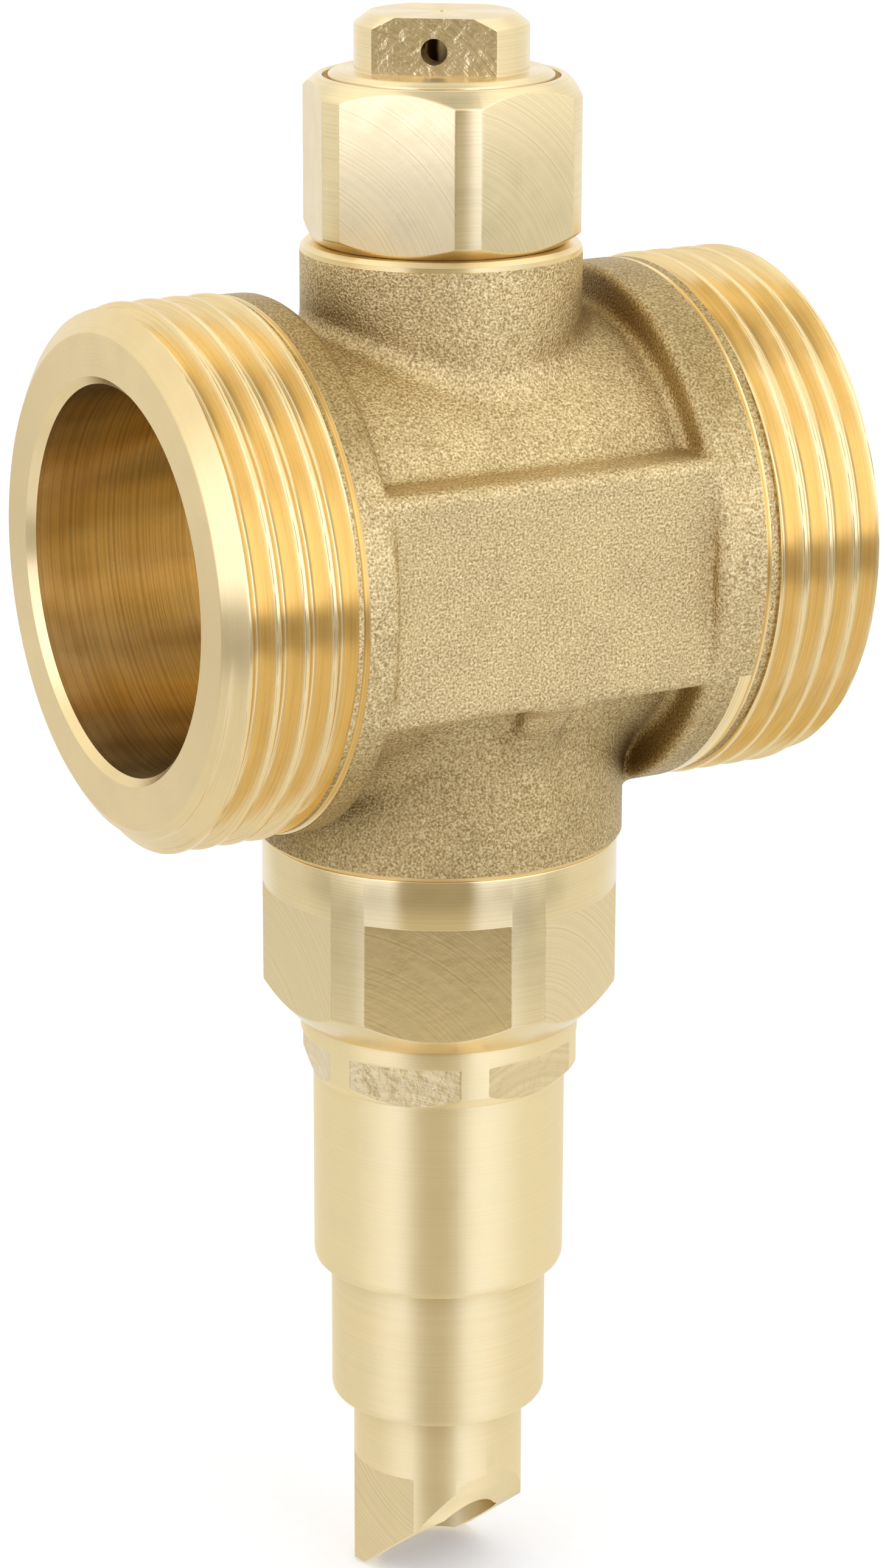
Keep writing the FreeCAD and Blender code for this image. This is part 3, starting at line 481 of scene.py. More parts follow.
def mark_turned(mesh):
    """Gives the turned and bored faces the bright materials. On a collar they lie under the cast skin."""
    middles = np.empty(len(mesh.polygons) * 3)
    mesh.polygons.foreach_get("center", middles)
    depths = casting_distance(middles.reshape(-1, 3) / MM)
    for face, depth in zip(mesh.polygons, depths):
        x, y, z = face.center / MM
        upright_r = math.hypot(x, y)
        run_bored = math.hypot(y, z) < WATERWAY_R + NEAR
        bored = upright_r < (VENT_BORE_R if z > 0 else DRAIN_BORE_R) + NEAR
        top_band = z > BODY_TOP - TOP_BAND_HEIGHT - NEAR
        gasket_seat = z > BODY_TOP - GASKET_SEAT_DEPTH - NEAR and upright_r < GASKET_SEAT_R + NEAR
        faces_down = face.normal.z < -0.5
        foot = z < BODY_BOTTOM + NEAR / 2 or (z < BODY_BOTTOM + SPARE and faces_down)
        start, groove = (RELIEF_LEFT, RELIEF_LEFT) if x < 0 else (COLLAR_BAND_START, RELIEF_RIGHT)
        cut_collar = start < abs(x) < groove + RELIEF_WIDTH and depth < -CUT_DEPTH
        if run_bored or cut_collar or abs(x) > THREAD_START - NEAR:
            face.material_index = 1
        elif bored or top_band or gasket_seat or foot:
            face.material_index = 2


body_casting = rough_casting()
skin = np.empty(len(body_casting.data.vertices) * 3)
body_casting.data.vertices.foreach_get("co", skin)
skin = settle(skin.reshape(-1, 3), FIRST_ROUNDS)
for _ in range(EVEN_ROUNDS):
    skin = settle(relax(body_casting.data, skin), LATER_ROUNDS)
body_casting.data.vertices.foreach_set("co", (skin * MM).ravel())
body_casting.data.update()
cut(body_casting, body_tools(), sharp=35)
bored_brass = turned_brass("body_bored_brass", "X", feed=0.22, groove=0.025, roughness=0.24,
                           colour=(0.96, 0.76, 0.40), line_depth=0.25)
faced_brass = turned_brass("body_faced_brass", "Z", feed=0.13, groove=0.02, roughness=0.28,
                           colour=(0.90, 0.72, 0.38))
body_casting.data.materials.clear()
for skin_brass in (cast_skin(), bored_brass, faced_brass):
    body_casting.data.materials.append(skin_brass)
mark_turned(body_casting.data)
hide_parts("valve_body")
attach(body_casting, "valve")


# The two threaded ends: a right-handed pipe thread cut on each end of the run, with a broad chamfer.
# The crests are narrow and the roots round. They are the same brass as the casting, bright from the tool.

THREAD_R = 20.955
THREAD_PITCH = 2.309
THREAD_DEPTH = 1.479
FLANK_ANGLE = 27.5
CREST_HALF = 0.17
CREST_ROUND = 0.1
ROOT_ROUND = 0.35
CREST_LEFT = -20.2
CREST_RIGHT = 20.5
FRONT_ANGLE = math.radians(270)
END_CHAMFER_LENGTH = 1.3
END_CHAMFER_DEPTH = 2.05
END_EDGE = 0.12
MOUTH_CHAMFER = 0.6
THREAD_ROW = 0.06
THREAD_STEPS = 240


def soft_above(value, floor, softness):
    """The larger of the two, with a soft bend between them."""
    lift = value - floor
    return floor + (lift + math.sqrt(lift * lift + softness * softness)) / 2


def thread_depth(x, angle, crest_at):
    """How far the thread lies under its crest at a place along the run and an angle round it."""
    crest = crest_at + THREAD_PITCH * (angle - FRONT_ANGLE) / (2 * math.pi)
    off_crest = abs((x - crest + THREAD_PITCH / 2) % THREAD_PITCH - THREAD_PITCH / 2)
    flank = (off_crest - CREST_HALF) / math.tan(math.radians(FLANK_ANGLE))
    return THREAD_DEPTH - soft_above(THREAD_DEPTH - soft_above(flank, 0, CREST_ROUND), 0, ROOT_ROUND)


def thread_profile(angle, side, crest_at):
    """The section of a threaded end at one angle, from the bore out over the thread."""
    chamfer_start = RUN_HALF - END_CHAMFER_LENGTH
    end_r = THREAD_R - END_CHAMFER_DEPTH
    rows = round((RUN_HALF - THREAD_START) / THREAD_ROW)
    profile = [(WATERWAY_R, side * THREAD_START)]
    for row in range(rows):
        x = THREAD_START + (RUN_HALF - THREAD_START) * row / rows
        chamfer_r = THREAD_R - max(0, x - chamfer_start) / END_CHAMFER_LENGTH * END_CHAMFER_DEPTH
        profile.append((min(THREAD_R - thread_depth(side * x, angle, crest_at), chamfer_r), side * x))
    mouth = side * RUN_HALF
    profile += [(end_r, mouth), (end_r - END_EDGE, mouth), (WATERWAY_R + MOUTH_CHAMFER, mouth),
                (WATERWAY_R, side * (RUN_HALF - MOUTH_CHAMFER))]
    return profile


thread_brass = turned_brass("thread_brass", "X", feed=0.14, groove=0.014, roughness=0.22,
                            colour=(0.91, 0.70, 0.35))
mouth_brass = turned_brass("mouth_brass", "X", feed=0.1, groove=0.004, roughness=0.26,
                           colour=(0.88, 0.69, 0.36), line_depth=0.04)
for side, crest_at, name in ((-1, CREST_LEFT, "thread_left"), (1, CREST_RIGHT, "thread_right")):
    angles = even_angles(THREAD_STEPS)
    made = spun([thread_profile(angle, side, crest_at) for angle in angles], angles)
    for face in made.faces:
        middle = face.calc_center_median() / MM
        if math.hypot(middle.x, middle.y) < WATERWAY_R + NEAR:
            face.material_index = 2
        elif abs(middle.z) > RUN_HALF - END_CHAMFER_LENGTH:
            face.material_index = 1
    threaded_end = as_piece(name, made, [thread_brass, mouth_brass, bored_brass], "X", sharp=34)
    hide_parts("valve_body")
    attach(threaded_end, "valve")


# The vent nut: turned from hexagonal brass bar, screwed into the top boss on a fibre gasket.
# Its six flats are face-milled, which leaves fine curved marks; narrow turned lands are left between them.
# Inside it has the seat of the vent and a recess for the cap.

NUT_R = 11.0
NUT_FLATS = 20.0
NUT_TURN = 11.7
NUT_NECK_R = 9.6
NUT_FOOT = 1.0
NUT_CROWN = 1.2
NUT_RECESS_R = 9.1
NUT_RIM_R = 9.55
NUT_RECESS = 0.8
NUT_SHANK_R = 8.35
CAP_THREAD_R = 7.05
SEAL_GROOVE_R = 8.2
SEAL_GROOVE_DEPTH = 1.15
GUIDE_SEAT = 22.0
VENT_SEAT = 19.6
VENT_SEAT_R = 3.8
POCKET_R = 6.4
EDGE = 0.14
EDGE_BAND = 0.09
FLAT_STEPS = 240


def rounded(corners, steps=3):
    """A closed profile's points. A corner is (radius, height), or (radius, height, setback) for a curve."""
    points = []
    for i, corner in enumerate(corners):
        here = Vector(corner[:2])
        if len(corner) == 2:
            points.append(here)
            continue
        back = Vector(corners[i - 1][:2]) - here
        ahead = Vector(corners[(i + 1) % len(corners)][:2]) - here
        setback = min(corner[2], 0.45 * back.length, 0.45 * ahead.length)
        start = here + back.normalized() * setback
        end = here + ahead.normalized() * setback
        for step in range(steps + 1):
            t = step / steps
            points.append(start * (1 - t) ** 2 + here * 2 * t * (1 - t) + end * t ** 2)
    return points


class Flats:
    """Equal flats milled round a turned piece: how many, the distance across them, and their turn."""

    def __init__(self, count, across, side_r, turn):
        self.step = 2 * math.pi / count
        self.half_across = across / 2
        self.side_r = side_r
        self.first = math.radians(turn - 90)
        self.half_angle = math.acos(self.half_across / side_r)

    def off_middle(self, angle):
        """The angle from the middle of the nearest flat."""
        return (angle - self.first + self.step / 2) % self.step - self.step / 2

    def reach(self, angle):
        """The radius at this angle, on the flat or on the round side."""
        return min(self.side_r, self.half_across / math.cos(self.off_middle(angle)))

    def angles(self):
        """Even angles, and three close together wherever a flat meets the round side."""
        band = EDGE_BAND / self.side_r
        edges = []
        for i in range(round(2 * math.pi / self.step)):
            for side in (-1, 1):
                edges.append((self.first + i * self.step + side * self.half_angle) % (2 * math.pi))
        close = [edge + shift for edge in edges for shift in (-band, 0, band)]
        even = [angle for angle in even_angles(FLAT_STEPS)
                if min(abs(angle - edge) for edge in edges) > 2 * band]
        return sorted(angle % (2 * math.pi) for angle in close + even)


def mark_flats(made, flats, low, high):
    """Gives the milled faces the second material, and all faces a map of the place on the nearest flat."""
    sheet = made.loops.layers.uv.new("flat_place")
    for face in made.faces:
        x, y, z = face.calc_center_median() / MM
        angle = math.atan2(y, x)
        on_flat = abs(math.hypot(x, y) * math.cos(flats.off_middle(angle)) - flats.half_across) < NEAR / 2
        upright = abs(face.normal.z) < 0.2
        if on_flat and upright and low < z < high:
            face.material_index = 1
        middle = angle - flats.off_middle(angle)
        for loop in face.loops:
            spot = loop.vert.co
            loop[sheet].uv = (spot.y * math.cos(middle) - spot.x * math.sin(middle), spot.z)


def milled_piece(name, profile_at, flats, low, high, materials):
    """A turned piece with flats milled between two heights, from its section at each radius of its side."""
    angles = flats.angles()
    made = spun([profile_at(flats.reach(angle)) for angle in angles], angles)
    mark_flats(made, flats, low, high)
    return as_piece(name, made, materials)


def edge_flats(piece):
    """Makes the edges round the milled flats sharp, so that each flat mirrors as one plane."""
    made = bmesh.new()
    made.from_mesh(piece.data)
    for edge in made.edges:
        if len({face.material_index for face in edge.link_faces}) == 2:
            edge.smooth = False
    made.to_mesh(piece.data)
    made.free()


def milled_brass(name, centre, feed, groove, chatter=0.01, roughness=0.27, colour=(0.86, 0.69, 0.38)):
    """Face-milled brass: marks curved about a centre (across, up) on each flat, and the cutter's chatter."""
    material, tree, shader, place = shader_tree(name)
    spot = node(tree, "UVMap", uv_map="flat_place").outputs["UV"]
    shifted = node(tree, "VectorMath", operation="SUBTRACT", Vector=spot)
    shifted.inputs[1].default_value = (centre[0] * MM, centre[1] * MM, 0)
    radius = node(tree, "VectorMath", operation="LENGTH", Vector=shifted.outputs["Vector"]).outputs["Value"]
    marks = noise_at(tree, node(tree, "CombineXYZ", X=radius).outputs["Vector"], feed, 3.0)
    wander = noise_at(tree, place, 2.5, 3.0)
    tone = ramp(tree, marks, [(0.35, [0.86 * c for c in colour]), (0.6, colour)])
    tree.links.new(tone, shader.inputs["Base Color"])
    gloss = ramp(tree, wander, [(0.3, grey(roughness * 0.85)), (0.7, grey(roughness * 1.25))])
    tree.links.new(gloss, shader.inputs["Roughness"])
    lumps = noise_at(tree, place, 1.1, 3.0)
    raised(tree, shader, [(marks, 0.5, groove), (lumps, 0.6, chatter)])
    return material


nut_low, nut_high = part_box("vent_nut")
NUT_TOP = nut_high.z / MM
NUT_BOTTOM = nut_low.z / MM
NUT_LEDGE = NUT_TOP - NUT_RECESS


def nut_profile(side):
    """The nut's section where its side stands at this radius."""
    low_cone = BODY_TOP + NUT_FOOT * (side - NUT_NECK_R) / (NUT_R - NUT_NECK_R)
    high_cone = NUT_TOP - NUT_CROWN * (side - NUT_RIM_R) / (NUT_R - NUT_RIM_R)
    seal_floor = NUT_LEDGE - SEAL_GROOVE_DEPTH
    return rounded([
        (NUT_SHANK_R, NUT_BOTTOM), (NUT_SHANK_R, BODY_TOP), (NUT_NECK_R, BODY_TOP, EDGE),
        (side, low_cone, EDGE), (side, high_cone, EDGE), (NUT_RIM_R, NUT_TOP, EDGE),
        (NUT_RECESS_R, NUT_TOP, EDGE), (NUT_RECESS_R, NUT_LEDGE), (SEAL_GROOVE_R, NUT_LEDGE),
        (SEAL_GROOVE_R, seal_floor), (CAP_THREAD_R, seal_floor), (CAP_THREAD_R, GUIDE_SEAT),
        (VENT_SEAT_R, GUIDE_SEAT), (VENT_SEAT_R, VENT_SEAT), (POCKET_R, VENT_SEAT), (POCKET_R, NUT_BOTTOM)])


top_turned = turned_brass("nut_turned_brass", "Z", feed=0.13, groove=0.01, roughness=0.28,
                          colour=(0.90, 0.74, 0.43), line_depth=0.08)
nut_milled = milled_brass("nut_milled_brass", centre=(-9.0, 20.0), feed=0.17, groove=0.012,
                          colour=(0.90, 0.74, 0.43))
nut_flats = Flats(6, NUT_FLATS, NUT_R, NUT_TURN)
vent_nut = milled_piece("vent_nut_dressed", nut_profile, nut_flats, BODY_TOP, NUT_TOP,
                        [top_turned, nut_milled])
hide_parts("vent_nut")
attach(vent_nut, "valve")
edge_flats(vent_nut)


# The vent cap: turned brass, screwed into the nut's recess on a rubber ring.
# Its head has two rough-milled flats for a spanner, and a hole drilled into the front one lets the air in.
# The disc under the head leaves a narrow gap in the recess, and a lathe centre mark is left in the top face.

CAP_R = 6.71
CAP_FLATS = 9.5
CAP_TURN = -36.0
CAP_HEAD = 4.3
CAP_CHAMFER_HEIGHT = 0.85
CAP_CHAMFER_DEPTH = 1.1
CAP_BORE_R = 3.4
CAP_AIR_R = 2.2
CAP_TUBE_R = 7.0
CAP_DISC_R = 8.7  # 0.3 under the solid's, for the dark gap round it
CAP_DISC_BEVEL = 0.6
CAP_DISC_BEVEL_HEIGHT = 0.35
CAP_ROOF = 1.3
CENTRE_MARK_R = 0.5
CROSS_HOLE_R = 1.0
CROSS_HOLE_RISE = 1.8
CROSS_HOLE_STEPS = 64

cap_low, cap_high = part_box("vent_cap")
CAP_TOP = cap_high.z / MM
CAP_BOTTOM = cap_low.z / MM
CAP_HEAD_BASE = CAP_TOP - CAP_HEAD


def cap_profile(side):
    """The cap's section where its head stands at this radius."""
    top_r = CAP_R - CAP_CHAMFER_DEPTH
    cone = CAP_TOP - CAP_CHAMFER_HEIGHT * max(0, side - top_r) / CAP_CHAMFER_DEPTH
    return rounded([
        (0, CAP_TOP - CAP_ROOF), (CAP_AIR_R, CAP_TOP - CAP_ROOF), (CAP_AIR_R, CAP_HEAD_BASE),
        (CAP_BORE_R, CAP_HEAD_BASE), (CAP_BORE_R, CAP_BOTTOM), (CAP_TUBE_R, CAP_BOTTOM),
        (CAP_TUBE_R, NUT_LEDGE), (CAP_DISC_R, NUT_LEDGE),
        (CAP_DISC_R, CAP_HEAD_BASE - CAP_DISC_BEVEL_HEIGHT, EDGE),
        (CAP_DISC_R - CAP_DISC_BEVEL, CAP_HEAD_BASE, EDGE), (side, CAP_HEAD_BASE, EDGE), (side, cone, EDGE),
        (min(side, top_r), CAP_TOP, EDGE), (CENTRE_MARK_R, CAP_TOP, EDGE / 2), (0, CAP_TOP - CENTRE_MARK_R)])


cap_milled = milled_brass("cap_milled_brass", centre=(-9.0, 27.0), feed=0.3, groove=0.12, chatter=0.25,
                          roughness=0.2)
cap_flats = Flats(2, CAP_FLATS, CAP_R, CAP_TURN)
vent_cap = milled_piece("vent_cap_dressed", cap_profile, cap_flats, CAP_HEAD_BASE, CAP_TOP,
                        [top_turned, cap_milled])
hole = bmesh.new()
rise = Matrix.Translation((0, 0, (CAP_HEAD_BASE + CROSS_HOLE_RISE) * MM))
turn = Matrix.Rotation(math.radians(CAP_TURN), 4, "Z")
to_front = Matrix.Translation((0, -CAP_R * MM, 0)) @ Matrix.Rotation(math.radians(90), 4, "X")
bmesh.ops.create_cone(hole, cap_ends=True, segments=CROSS_HOLE_STEPS, radius1=CROSS_HOLE_R * MM,
                      radius2=CROSS_HOLE_R * MM, depth=2 * CAP_R * MM, matrix=rise @ turn @ to_front)
cut(vent_cap, [as_piece("tool", hole, [])])
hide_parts("vent_cap")
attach(vent_cap, "valve")
edge_flats(vent_cap)


# The adapter: the hexagonal holder turned from brass bar and screwed up into the bottom boss.
# Its six flats are milled from below up to a square shoulder, and the foot is chamfered all round.

ADAPTER_R = 14.2
ADAPTER_FLATS = 26.0
ADAPTER_TURN = -29.4
ADAPTER_FLAT_START = 4.0
ADAPTER_FOOT = 2.7
ADAPTER_FOOT_R = 11.6
ADAPTER_SHANK_R = 11.05
ADAPTER_SEAL_FLOOR_R = 9.86
ADAPTER_SEAL_TOP = 1.95
ADAPTER_SEAL_LOW = 0.46
GUIDE_BORE_R = 9.0
GUIDE_BORE_DEPTH = 1.2
SHUTOFF_BORE_R = 8.4
SHUTOFF_SEAT = -22.6
SHUTOFF_SEAT_R = 6.4
SHUTOFF_SEAT_BACK = -24.4
NECK_BORE_R = 9.25

adapter_low, adapter_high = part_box("adapter")
ADAPTER_TOP = adapter_high.z / MM
ADAPTER_END = adapter_low.z / MM


def adapter_profile(side):
    """The holder's section where its side stands at this radius."""
    shoulder = BODY_BOTTOM - ADAPTER_FLAT_START
    cone = ADAPTER_END + ADAPTER_FOOT * (side - ADAPTER_FOOT_R) / (ADAPTER_R - ADAPTER_FOOT_R)
    seal_top = BODY_BOTTOM + ADAPTER_SEAL_TOP
    seal_low = BODY_BOTTOM + ADAPTER_SEAL_LOW
    return rounded([
        (GUIDE_BORE_R, ADAPTER_TOP), (ADAPTER_SHANK_R, ADAPTER_TOP), (ADAPTER_SHANK_R, seal_top),
        (ADAPTER_SEAL_FLOOR_R, seal_top), (ADAPTER_SEAL_FLOOR_R, seal_low), (ADAPTER_SHANK_R, seal_low),
        (ADAPTER_SHANK_R, BODY_BOTTOM), (ADAPTER_R, BODY_BOTTOM, EDGE), (ADAPTER_R, shoulder, EDGE / 2),
        (side, shoulder), (side, cone, EDGE), (ADAPTER_FOOT_R, ADAPTER_END, EDGE), (NECK_BORE_R, ADAPTER_END),
        (NECK_BORE_R, SHUTOFF_SEAT_BACK), (SHUTOFF_SEAT_R, SHUTOFF_SEAT_BACK), (SHUTOFF_SEAT_R, SHUTOFF_SEAT),
        (SHUTOFF_BORE_R, SHUTOFF_SEAT), (SHUTOFF_BORE_R, ADAPTER_TOP - GUIDE_BORE_DEPTH),
        (GUIDE_BORE_R, ADAPTER_TOP - GUIDE_BORE_DEPTH)])


adapter_turned = turned_brass("adapter_turned_brass", "Z", feed=0.16, groove=0.006, roughness=0.17,
                              colour=(0.87, 0.70, 0.385), line_depth=0.05)
adapter_milled = milled_brass("adapter_milled_brass", centre=(-10.0, -46.0), feed=0.2, groove=0.02,
                              chatter=0.06, roughness=0.25)
adapter_flats = Flats(6, ADAPTER_FLATS, ADAPTER_R, ADAPTER_TURN)
adapter = milled_piece("adapter_dressed", adapter_profile, adapter_flats, ADAPTER_END,
                       BODY_BOTTOM - ADAPTER_FLAT_START, [adapter_turned, adapter_milled])
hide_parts("adapter")
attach(adapter, "valve")
edge_flats(adapter)


# The cartridge sleeve: turned brass, screwed up into the adapter from below.
# Its ring has six short rough-milled flats for a spanner. The barrel below is plain with a round lower edge.

RING_R = 11.2
RING_HEIGHT = 5.1
RING_CHAMFER = 1.0
RING_FLATS = 20.5
RING_FLAT_START = 1.6
RING_TURN = -44.0
SLEEVE_R = 10.2
SLEEVE_ROUND = 1.35
SLEEVE_BORE_R = 7.6
SLEEVE_NECK_R = 9.2
NECK_SEAL_FLOOR_R = 8.25
NECK_SEAL_DROP = 1.7
NECK_SEAL_HALF = 0.585
HOLDER_TOP = -35.3
HOLDER_END = -37.8
CLIP_GROOVE_R = 8.05
CLIP_GROOVE_HEIGHT = 0.9
PLUG_BORE_R = 7.0
NOZZLE_BORE_R = 8.05
NOZZLE_TOP = -56.0

sleeve_low, sleeve_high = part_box("cartridge_sleeve")
SLEEVE_TOP = sleeve_high.z / MM
SLEEVE_END = sleeve_low.z / MM
RING_END = ADAPTER_END - RING_HEIGHT


def sleeve_profile(side):
    """The sleeve's section where its ring stands at this radius."""
    shoulder = ADAPTER_END - RING_FLAT_START
    cone = RING_END + max(0, side - RING_R + RING_CHAMFER)
    seal_top = SLEEVE_TOP - NECK_SEAL_DROP + NECK_SEAL_HALF
    seal_low = SLEEVE_TOP - NECK_SEAL_DROP - NECK_SEAL_HALF
    clip_top = HOLDER_TOP + CLIP_GROOVE_HEIGHT
    return rounded([
        (SLEEVE_BORE_R, SLEEVE_TOP), (SLEEVE_NECK_R, SLEEVE_TOP), (SLEEVE_NECK_R, seal_top),
        (NECK_SEAL_FLOOR_R, seal_top), (NECK_SEAL_FLOOR_R, seal_low), (SLEEVE_NECK_R, seal_low),
        (SLEEVE_NECK_R, ADAPTER_END), (RING_R, ADAPTER_END, 2 * EDGE), (RING_R, shoulder, 2 * EDGE),
        (side, shoulder, 2 * EDGE), (side, cone, EDGE),
        (SLEEVE_R, RING_END, EDGE / 2), (SLEEVE_R, SLEEVE_END, SLEEVE_ROUND), (NOZZLE_BORE_R, SLEEVE_END),
        (NOZZLE_BORE_R, NOZZLE_TOP), (PLUG_BORE_R, NOZZLE_TOP), (PLUG_BORE_R, HOLDER_END),
        (SLEEVE_BORE_R, HOLDER_END), (SLEEVE_BORE_R, HOLDER_TOP), (CLIP_GROOVE_R, HOLDER_TOP),
        (CLIP_GROOVE_R, clip_top), (SLEEVE_BORE_R, clip_top)], steps=5)


# Painted light: the sleeve's brass is set lighter than the other turned pieces' to stand in for the brighter
# room that it mirrors.
sleeve_turned = turned_brass("sleeve_turned_brass", "Z", feed=0.14, groove=0.006, roughness=0.46,
                             colour=(0.95, 0.79, 0.45), line_depth=0.03)
ring_milled = milled_brass("ring_milled_brass", centre=(0.0, -52.0), feed=0.5, groove=0.1, chatter=0.3,
                           roughness=0.3)
ring_flats = Flats(6, RING_FLATS, RING_R, RING_TURN)
sleeve = milled_piece("cartridge_sleeve_dressed", sleeve_profile, ring_flats, RING_END,
                      ADAPTER_END - RING_FLAT_START, [sleeve_turned, ring_milled])
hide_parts("cartridge_sleeve")
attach(sleeve, "valve")
edge_flats(sleeve)


# The drain nozzle: turned brass, screwed into the sleeve's end. Its tip has two milled flats.
# The tip is cut off at a slant through the outlet bore, so that drops run off its lowest point.

NOZZLE_R = 8.78
NOZZLE_LENGTH = 11.8
NOZZLE_ROUND = 1.7
NOZZLE_SEAL_FLOOR_R = 7.05
NOZZLE_SEAL_DROP = 2.0
SEAT_R = 5.0
SEAT_BORE_R = 4.0
NOZZLE_THREAD_R = 8.0
TIP_R = 6.97
TIP_FLATS = 11.6
TIP_FLAT_START = 5.6
TIP_TURN = -79.0
OUTLET_R = 4.9
OUTLET_TOP = -62.2
TIP_CUT_START = -2.6
TIP_CUT_ANGLE = 38.5
TIP_CUT_BREAK = 4.1
TIP_CUT_STEEP_ANGLE = 58.0

nozzle_low, nozzle_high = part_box("drain_nozzle")
SEAT_TOP = nozzle_high.z / MM
TIP_END = nozzle_low.z / MM
SHOULDER_END = SLEEVE_END - NOZZLE_LENGTH


def nozzle_profile(side):
    """The nozzle's section where its tip stands at this radius."""
    flat_start = SHOULDER_END - TIP_FLAT_START
    seal_top = NOZZLE_TOP - NOZZLE_SEAL_DROP + NECK_SEAL_HALF
    seal_low = NOZZLE_TOP - NOZZLE_SEAL_DROP - NECK_SEAL_HALF
    return rounded([
        (SEAT_BORE_R, SEAT_TOP), (SEAT_R, SEAT_TOP), (SEAT_R, NOZZLE_TOP), (NOZZLE_THREAD_R, NOZZLE_TOP),
        (NOZZLE_THREAD_R, seal_top), (NOZZLE_SEAL_FLOOR_R, seal_top), (NOZZLE_SEAL_FLOOR_R, seal_low),
        (NOZZLE_THREAD_R, seal_low),
        (NOZZLE_THREAD_R, SLEEVE_END), (NOZZLE_R, SLEEVE_END), (NOZZLE_R, SHOULDER_END, NOZZLE_ROUND),
        (TIP_R, SHOULDER_END, EDGE / 2), (TIP_R, flat_start, EDGE / 2), (side, flat_start), (side, TIP_END),
        (OUTLET_R, TIP_END), (OUTLET_R, OUTLET_TOP), (SEAT_BORE_R, OUTLET_TOP)], steps=6)


def slant_tool():
    """The wedge that is cut off the tip: a shallow slope, then a steeper one towards the rim."""
    beyond = TIP_R + SPARE
    low = TIP_END - SPARE
    start = TIP_CUT_START - SPARE / math.tan(math.radians(TIP_CUT_ANGLE))
    break_level = TIP_END + (TIP_CUT_BREAK - TIP_CUT_START) * math.tan(math.radians(TIP_CUT_ANGLE))
    rim_level = break_level + (beyond - TIP_CUT_BREAK) * math.tan(math.radians(TIP_CUT_STEEP_ANGLE))
    outline = [(start, low), (beyond, low), (beyond, rim_level), (TIP_CUT_BREAK, break_level)]
    wedge = bmesh.new()
    sides = [[wedge.verts.new((x * MM, y * MM, z * MM)) for x, z in outline] for y in (-beyond, beyond)]
    wedge.faces.new(sides[0])
    wedge.faces.new(sides[1])
    for i in range(len(outline)):
        wedge.faces.new((sides[0][i - 1], sides[0][i], sides[1][i], sides[1][i - 1]))
    bmesh.ops.recalc_face_normals(wedge, faces=wedge.faces)
    wedge.transform(Matrix.Rotation(math.radians(TIP_TURN), 4, "Z"))
    return as_piece("tool", wedge, [])


# Painted light: the nozzle's brass is set lighter, like the sleeve's, to stand in for the brighter room that it
# mirrors.
nozzle_turned = turned_brass("nozzle_turned_brass", "Z", feed=0.14, groove=0.006, roughness=0.5,
                             colour=(0.94, 0.78, 0.45), line_depth=0.03)
tip_milled = milled_brass("tip_milled_brass", centre=(6.0, -70.0), feed=0.22, groove=0.02, roughness=0.28)
tip_flats = Flats(2, TIP_FLATS, TIP_R, TIP_TURN)
nozzle = milled_piece("drain_nozzle_dressed", nozzle_profile, tip_flats, TIP_END,
                      SHOULDER_END - TIP_FLAT_START, [nozzle_turned, tip_milled])
cut(nozzle, [slant_tool()])
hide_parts("drain_nozzle")
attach(nozzle, "valve")
edge_flats(nozzle)


# The inner brass parts: guides, poppet, shut-off disc, element holder and drain plug.
# They are turned or punched from brass and stay satin, as no one polishes them.


def cover(piece, material):
    """Gives a piece one material in place of its own."""
    piece.data.materials.clear()
    piece.data.materials.append(material)


inner_brass = turned_brass("inner_brass", "Z", feed=0.2, groove=0.03, roughness=0.34,
                           colour=(0.80, 0.65, 0.36))
for name in ("vent_guide", "vent_poppet", "shutoff_guide", "shutoff_disc", "element_holder", "drain_plug"):
    cover(nodes[name], inner_brass)


# The wax element: a drawn cup of copper-rich brass, crimped over the guide of its piston.
# Drawing leaves it smooth, with faint streaks and a redder colour than the turned parts.


def drawn_copper():
    """Copper-rich brass with a satin skin and a little tarnish."""
    material, tree, shader, place = shader_tree("drawn_copper_brass")
    tarnish = noise_at(tree, place, 2.0, 4.0)
    tone = ramp(tree, tarnish, [(0.35, (0.50, 0.27, 0.14)), (0.65, (0.72, 0.45, 0.27))])
    gloss = ramp(tree, tarnish, [(0.3, grey(0.42)), (0.7, grey(0.28))])
    tree.links.new(tone, shader.inputs["Base Color"])
    tree.links.new(gloss, shader.inputs["Roughness"])
    return material


cover(nodes["wax_element"], drawn_copper())


# The springs, clips and the piston: stainless wire, punched strip and a ground pin, with fine drawing marks.
# The vent's spring and the return spring stand on the valve and push a moving piece; each is copied in place as
# a wire of its own.


def plain_skin(name, size, detail, tones, bump, roughness, metallic=0.0):
    """A skin whose colour and bumps (strength, depth) follow one noise with lumps of this size."""
    material, tree, shader, place = shader_tree(name, metallic)
    lumps = noise_at(tree, place, size, detail)
    tree.links.new(ramp(tree, lumps, tones), shader.inputs["Base Color"])
    raised(tree, shader, [(lumps, *bump)])
    shader.inputs["Roughness"].default_value = roughness
    return material


steel = plain_skin("stainless_steel", 0.12, 2.0, [(0.3, grey(0.52)), (0.7, grey(0.66))], bump=(0.2, 0.01),
                   roughness=0.24, metallic=1.0)
for name in ("vent_spring", "vent_stem_clip", "shutoff_spring", "holder_clip", "wax_piston", "return_spring"):
    cover(nodes[name], steel)
for name, pushed in (("vent_spring", "vent_poppet"), ("return_spring", "drain_plug")):
    wire = bpy.data.objects.new(name + "_wire", nodes[name].data.copy())
    wire.matrix_world = nodes[name].matrix_world
    bpy.context.scene.collection.objects.link(wire)
    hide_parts(name)
    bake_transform(wire)


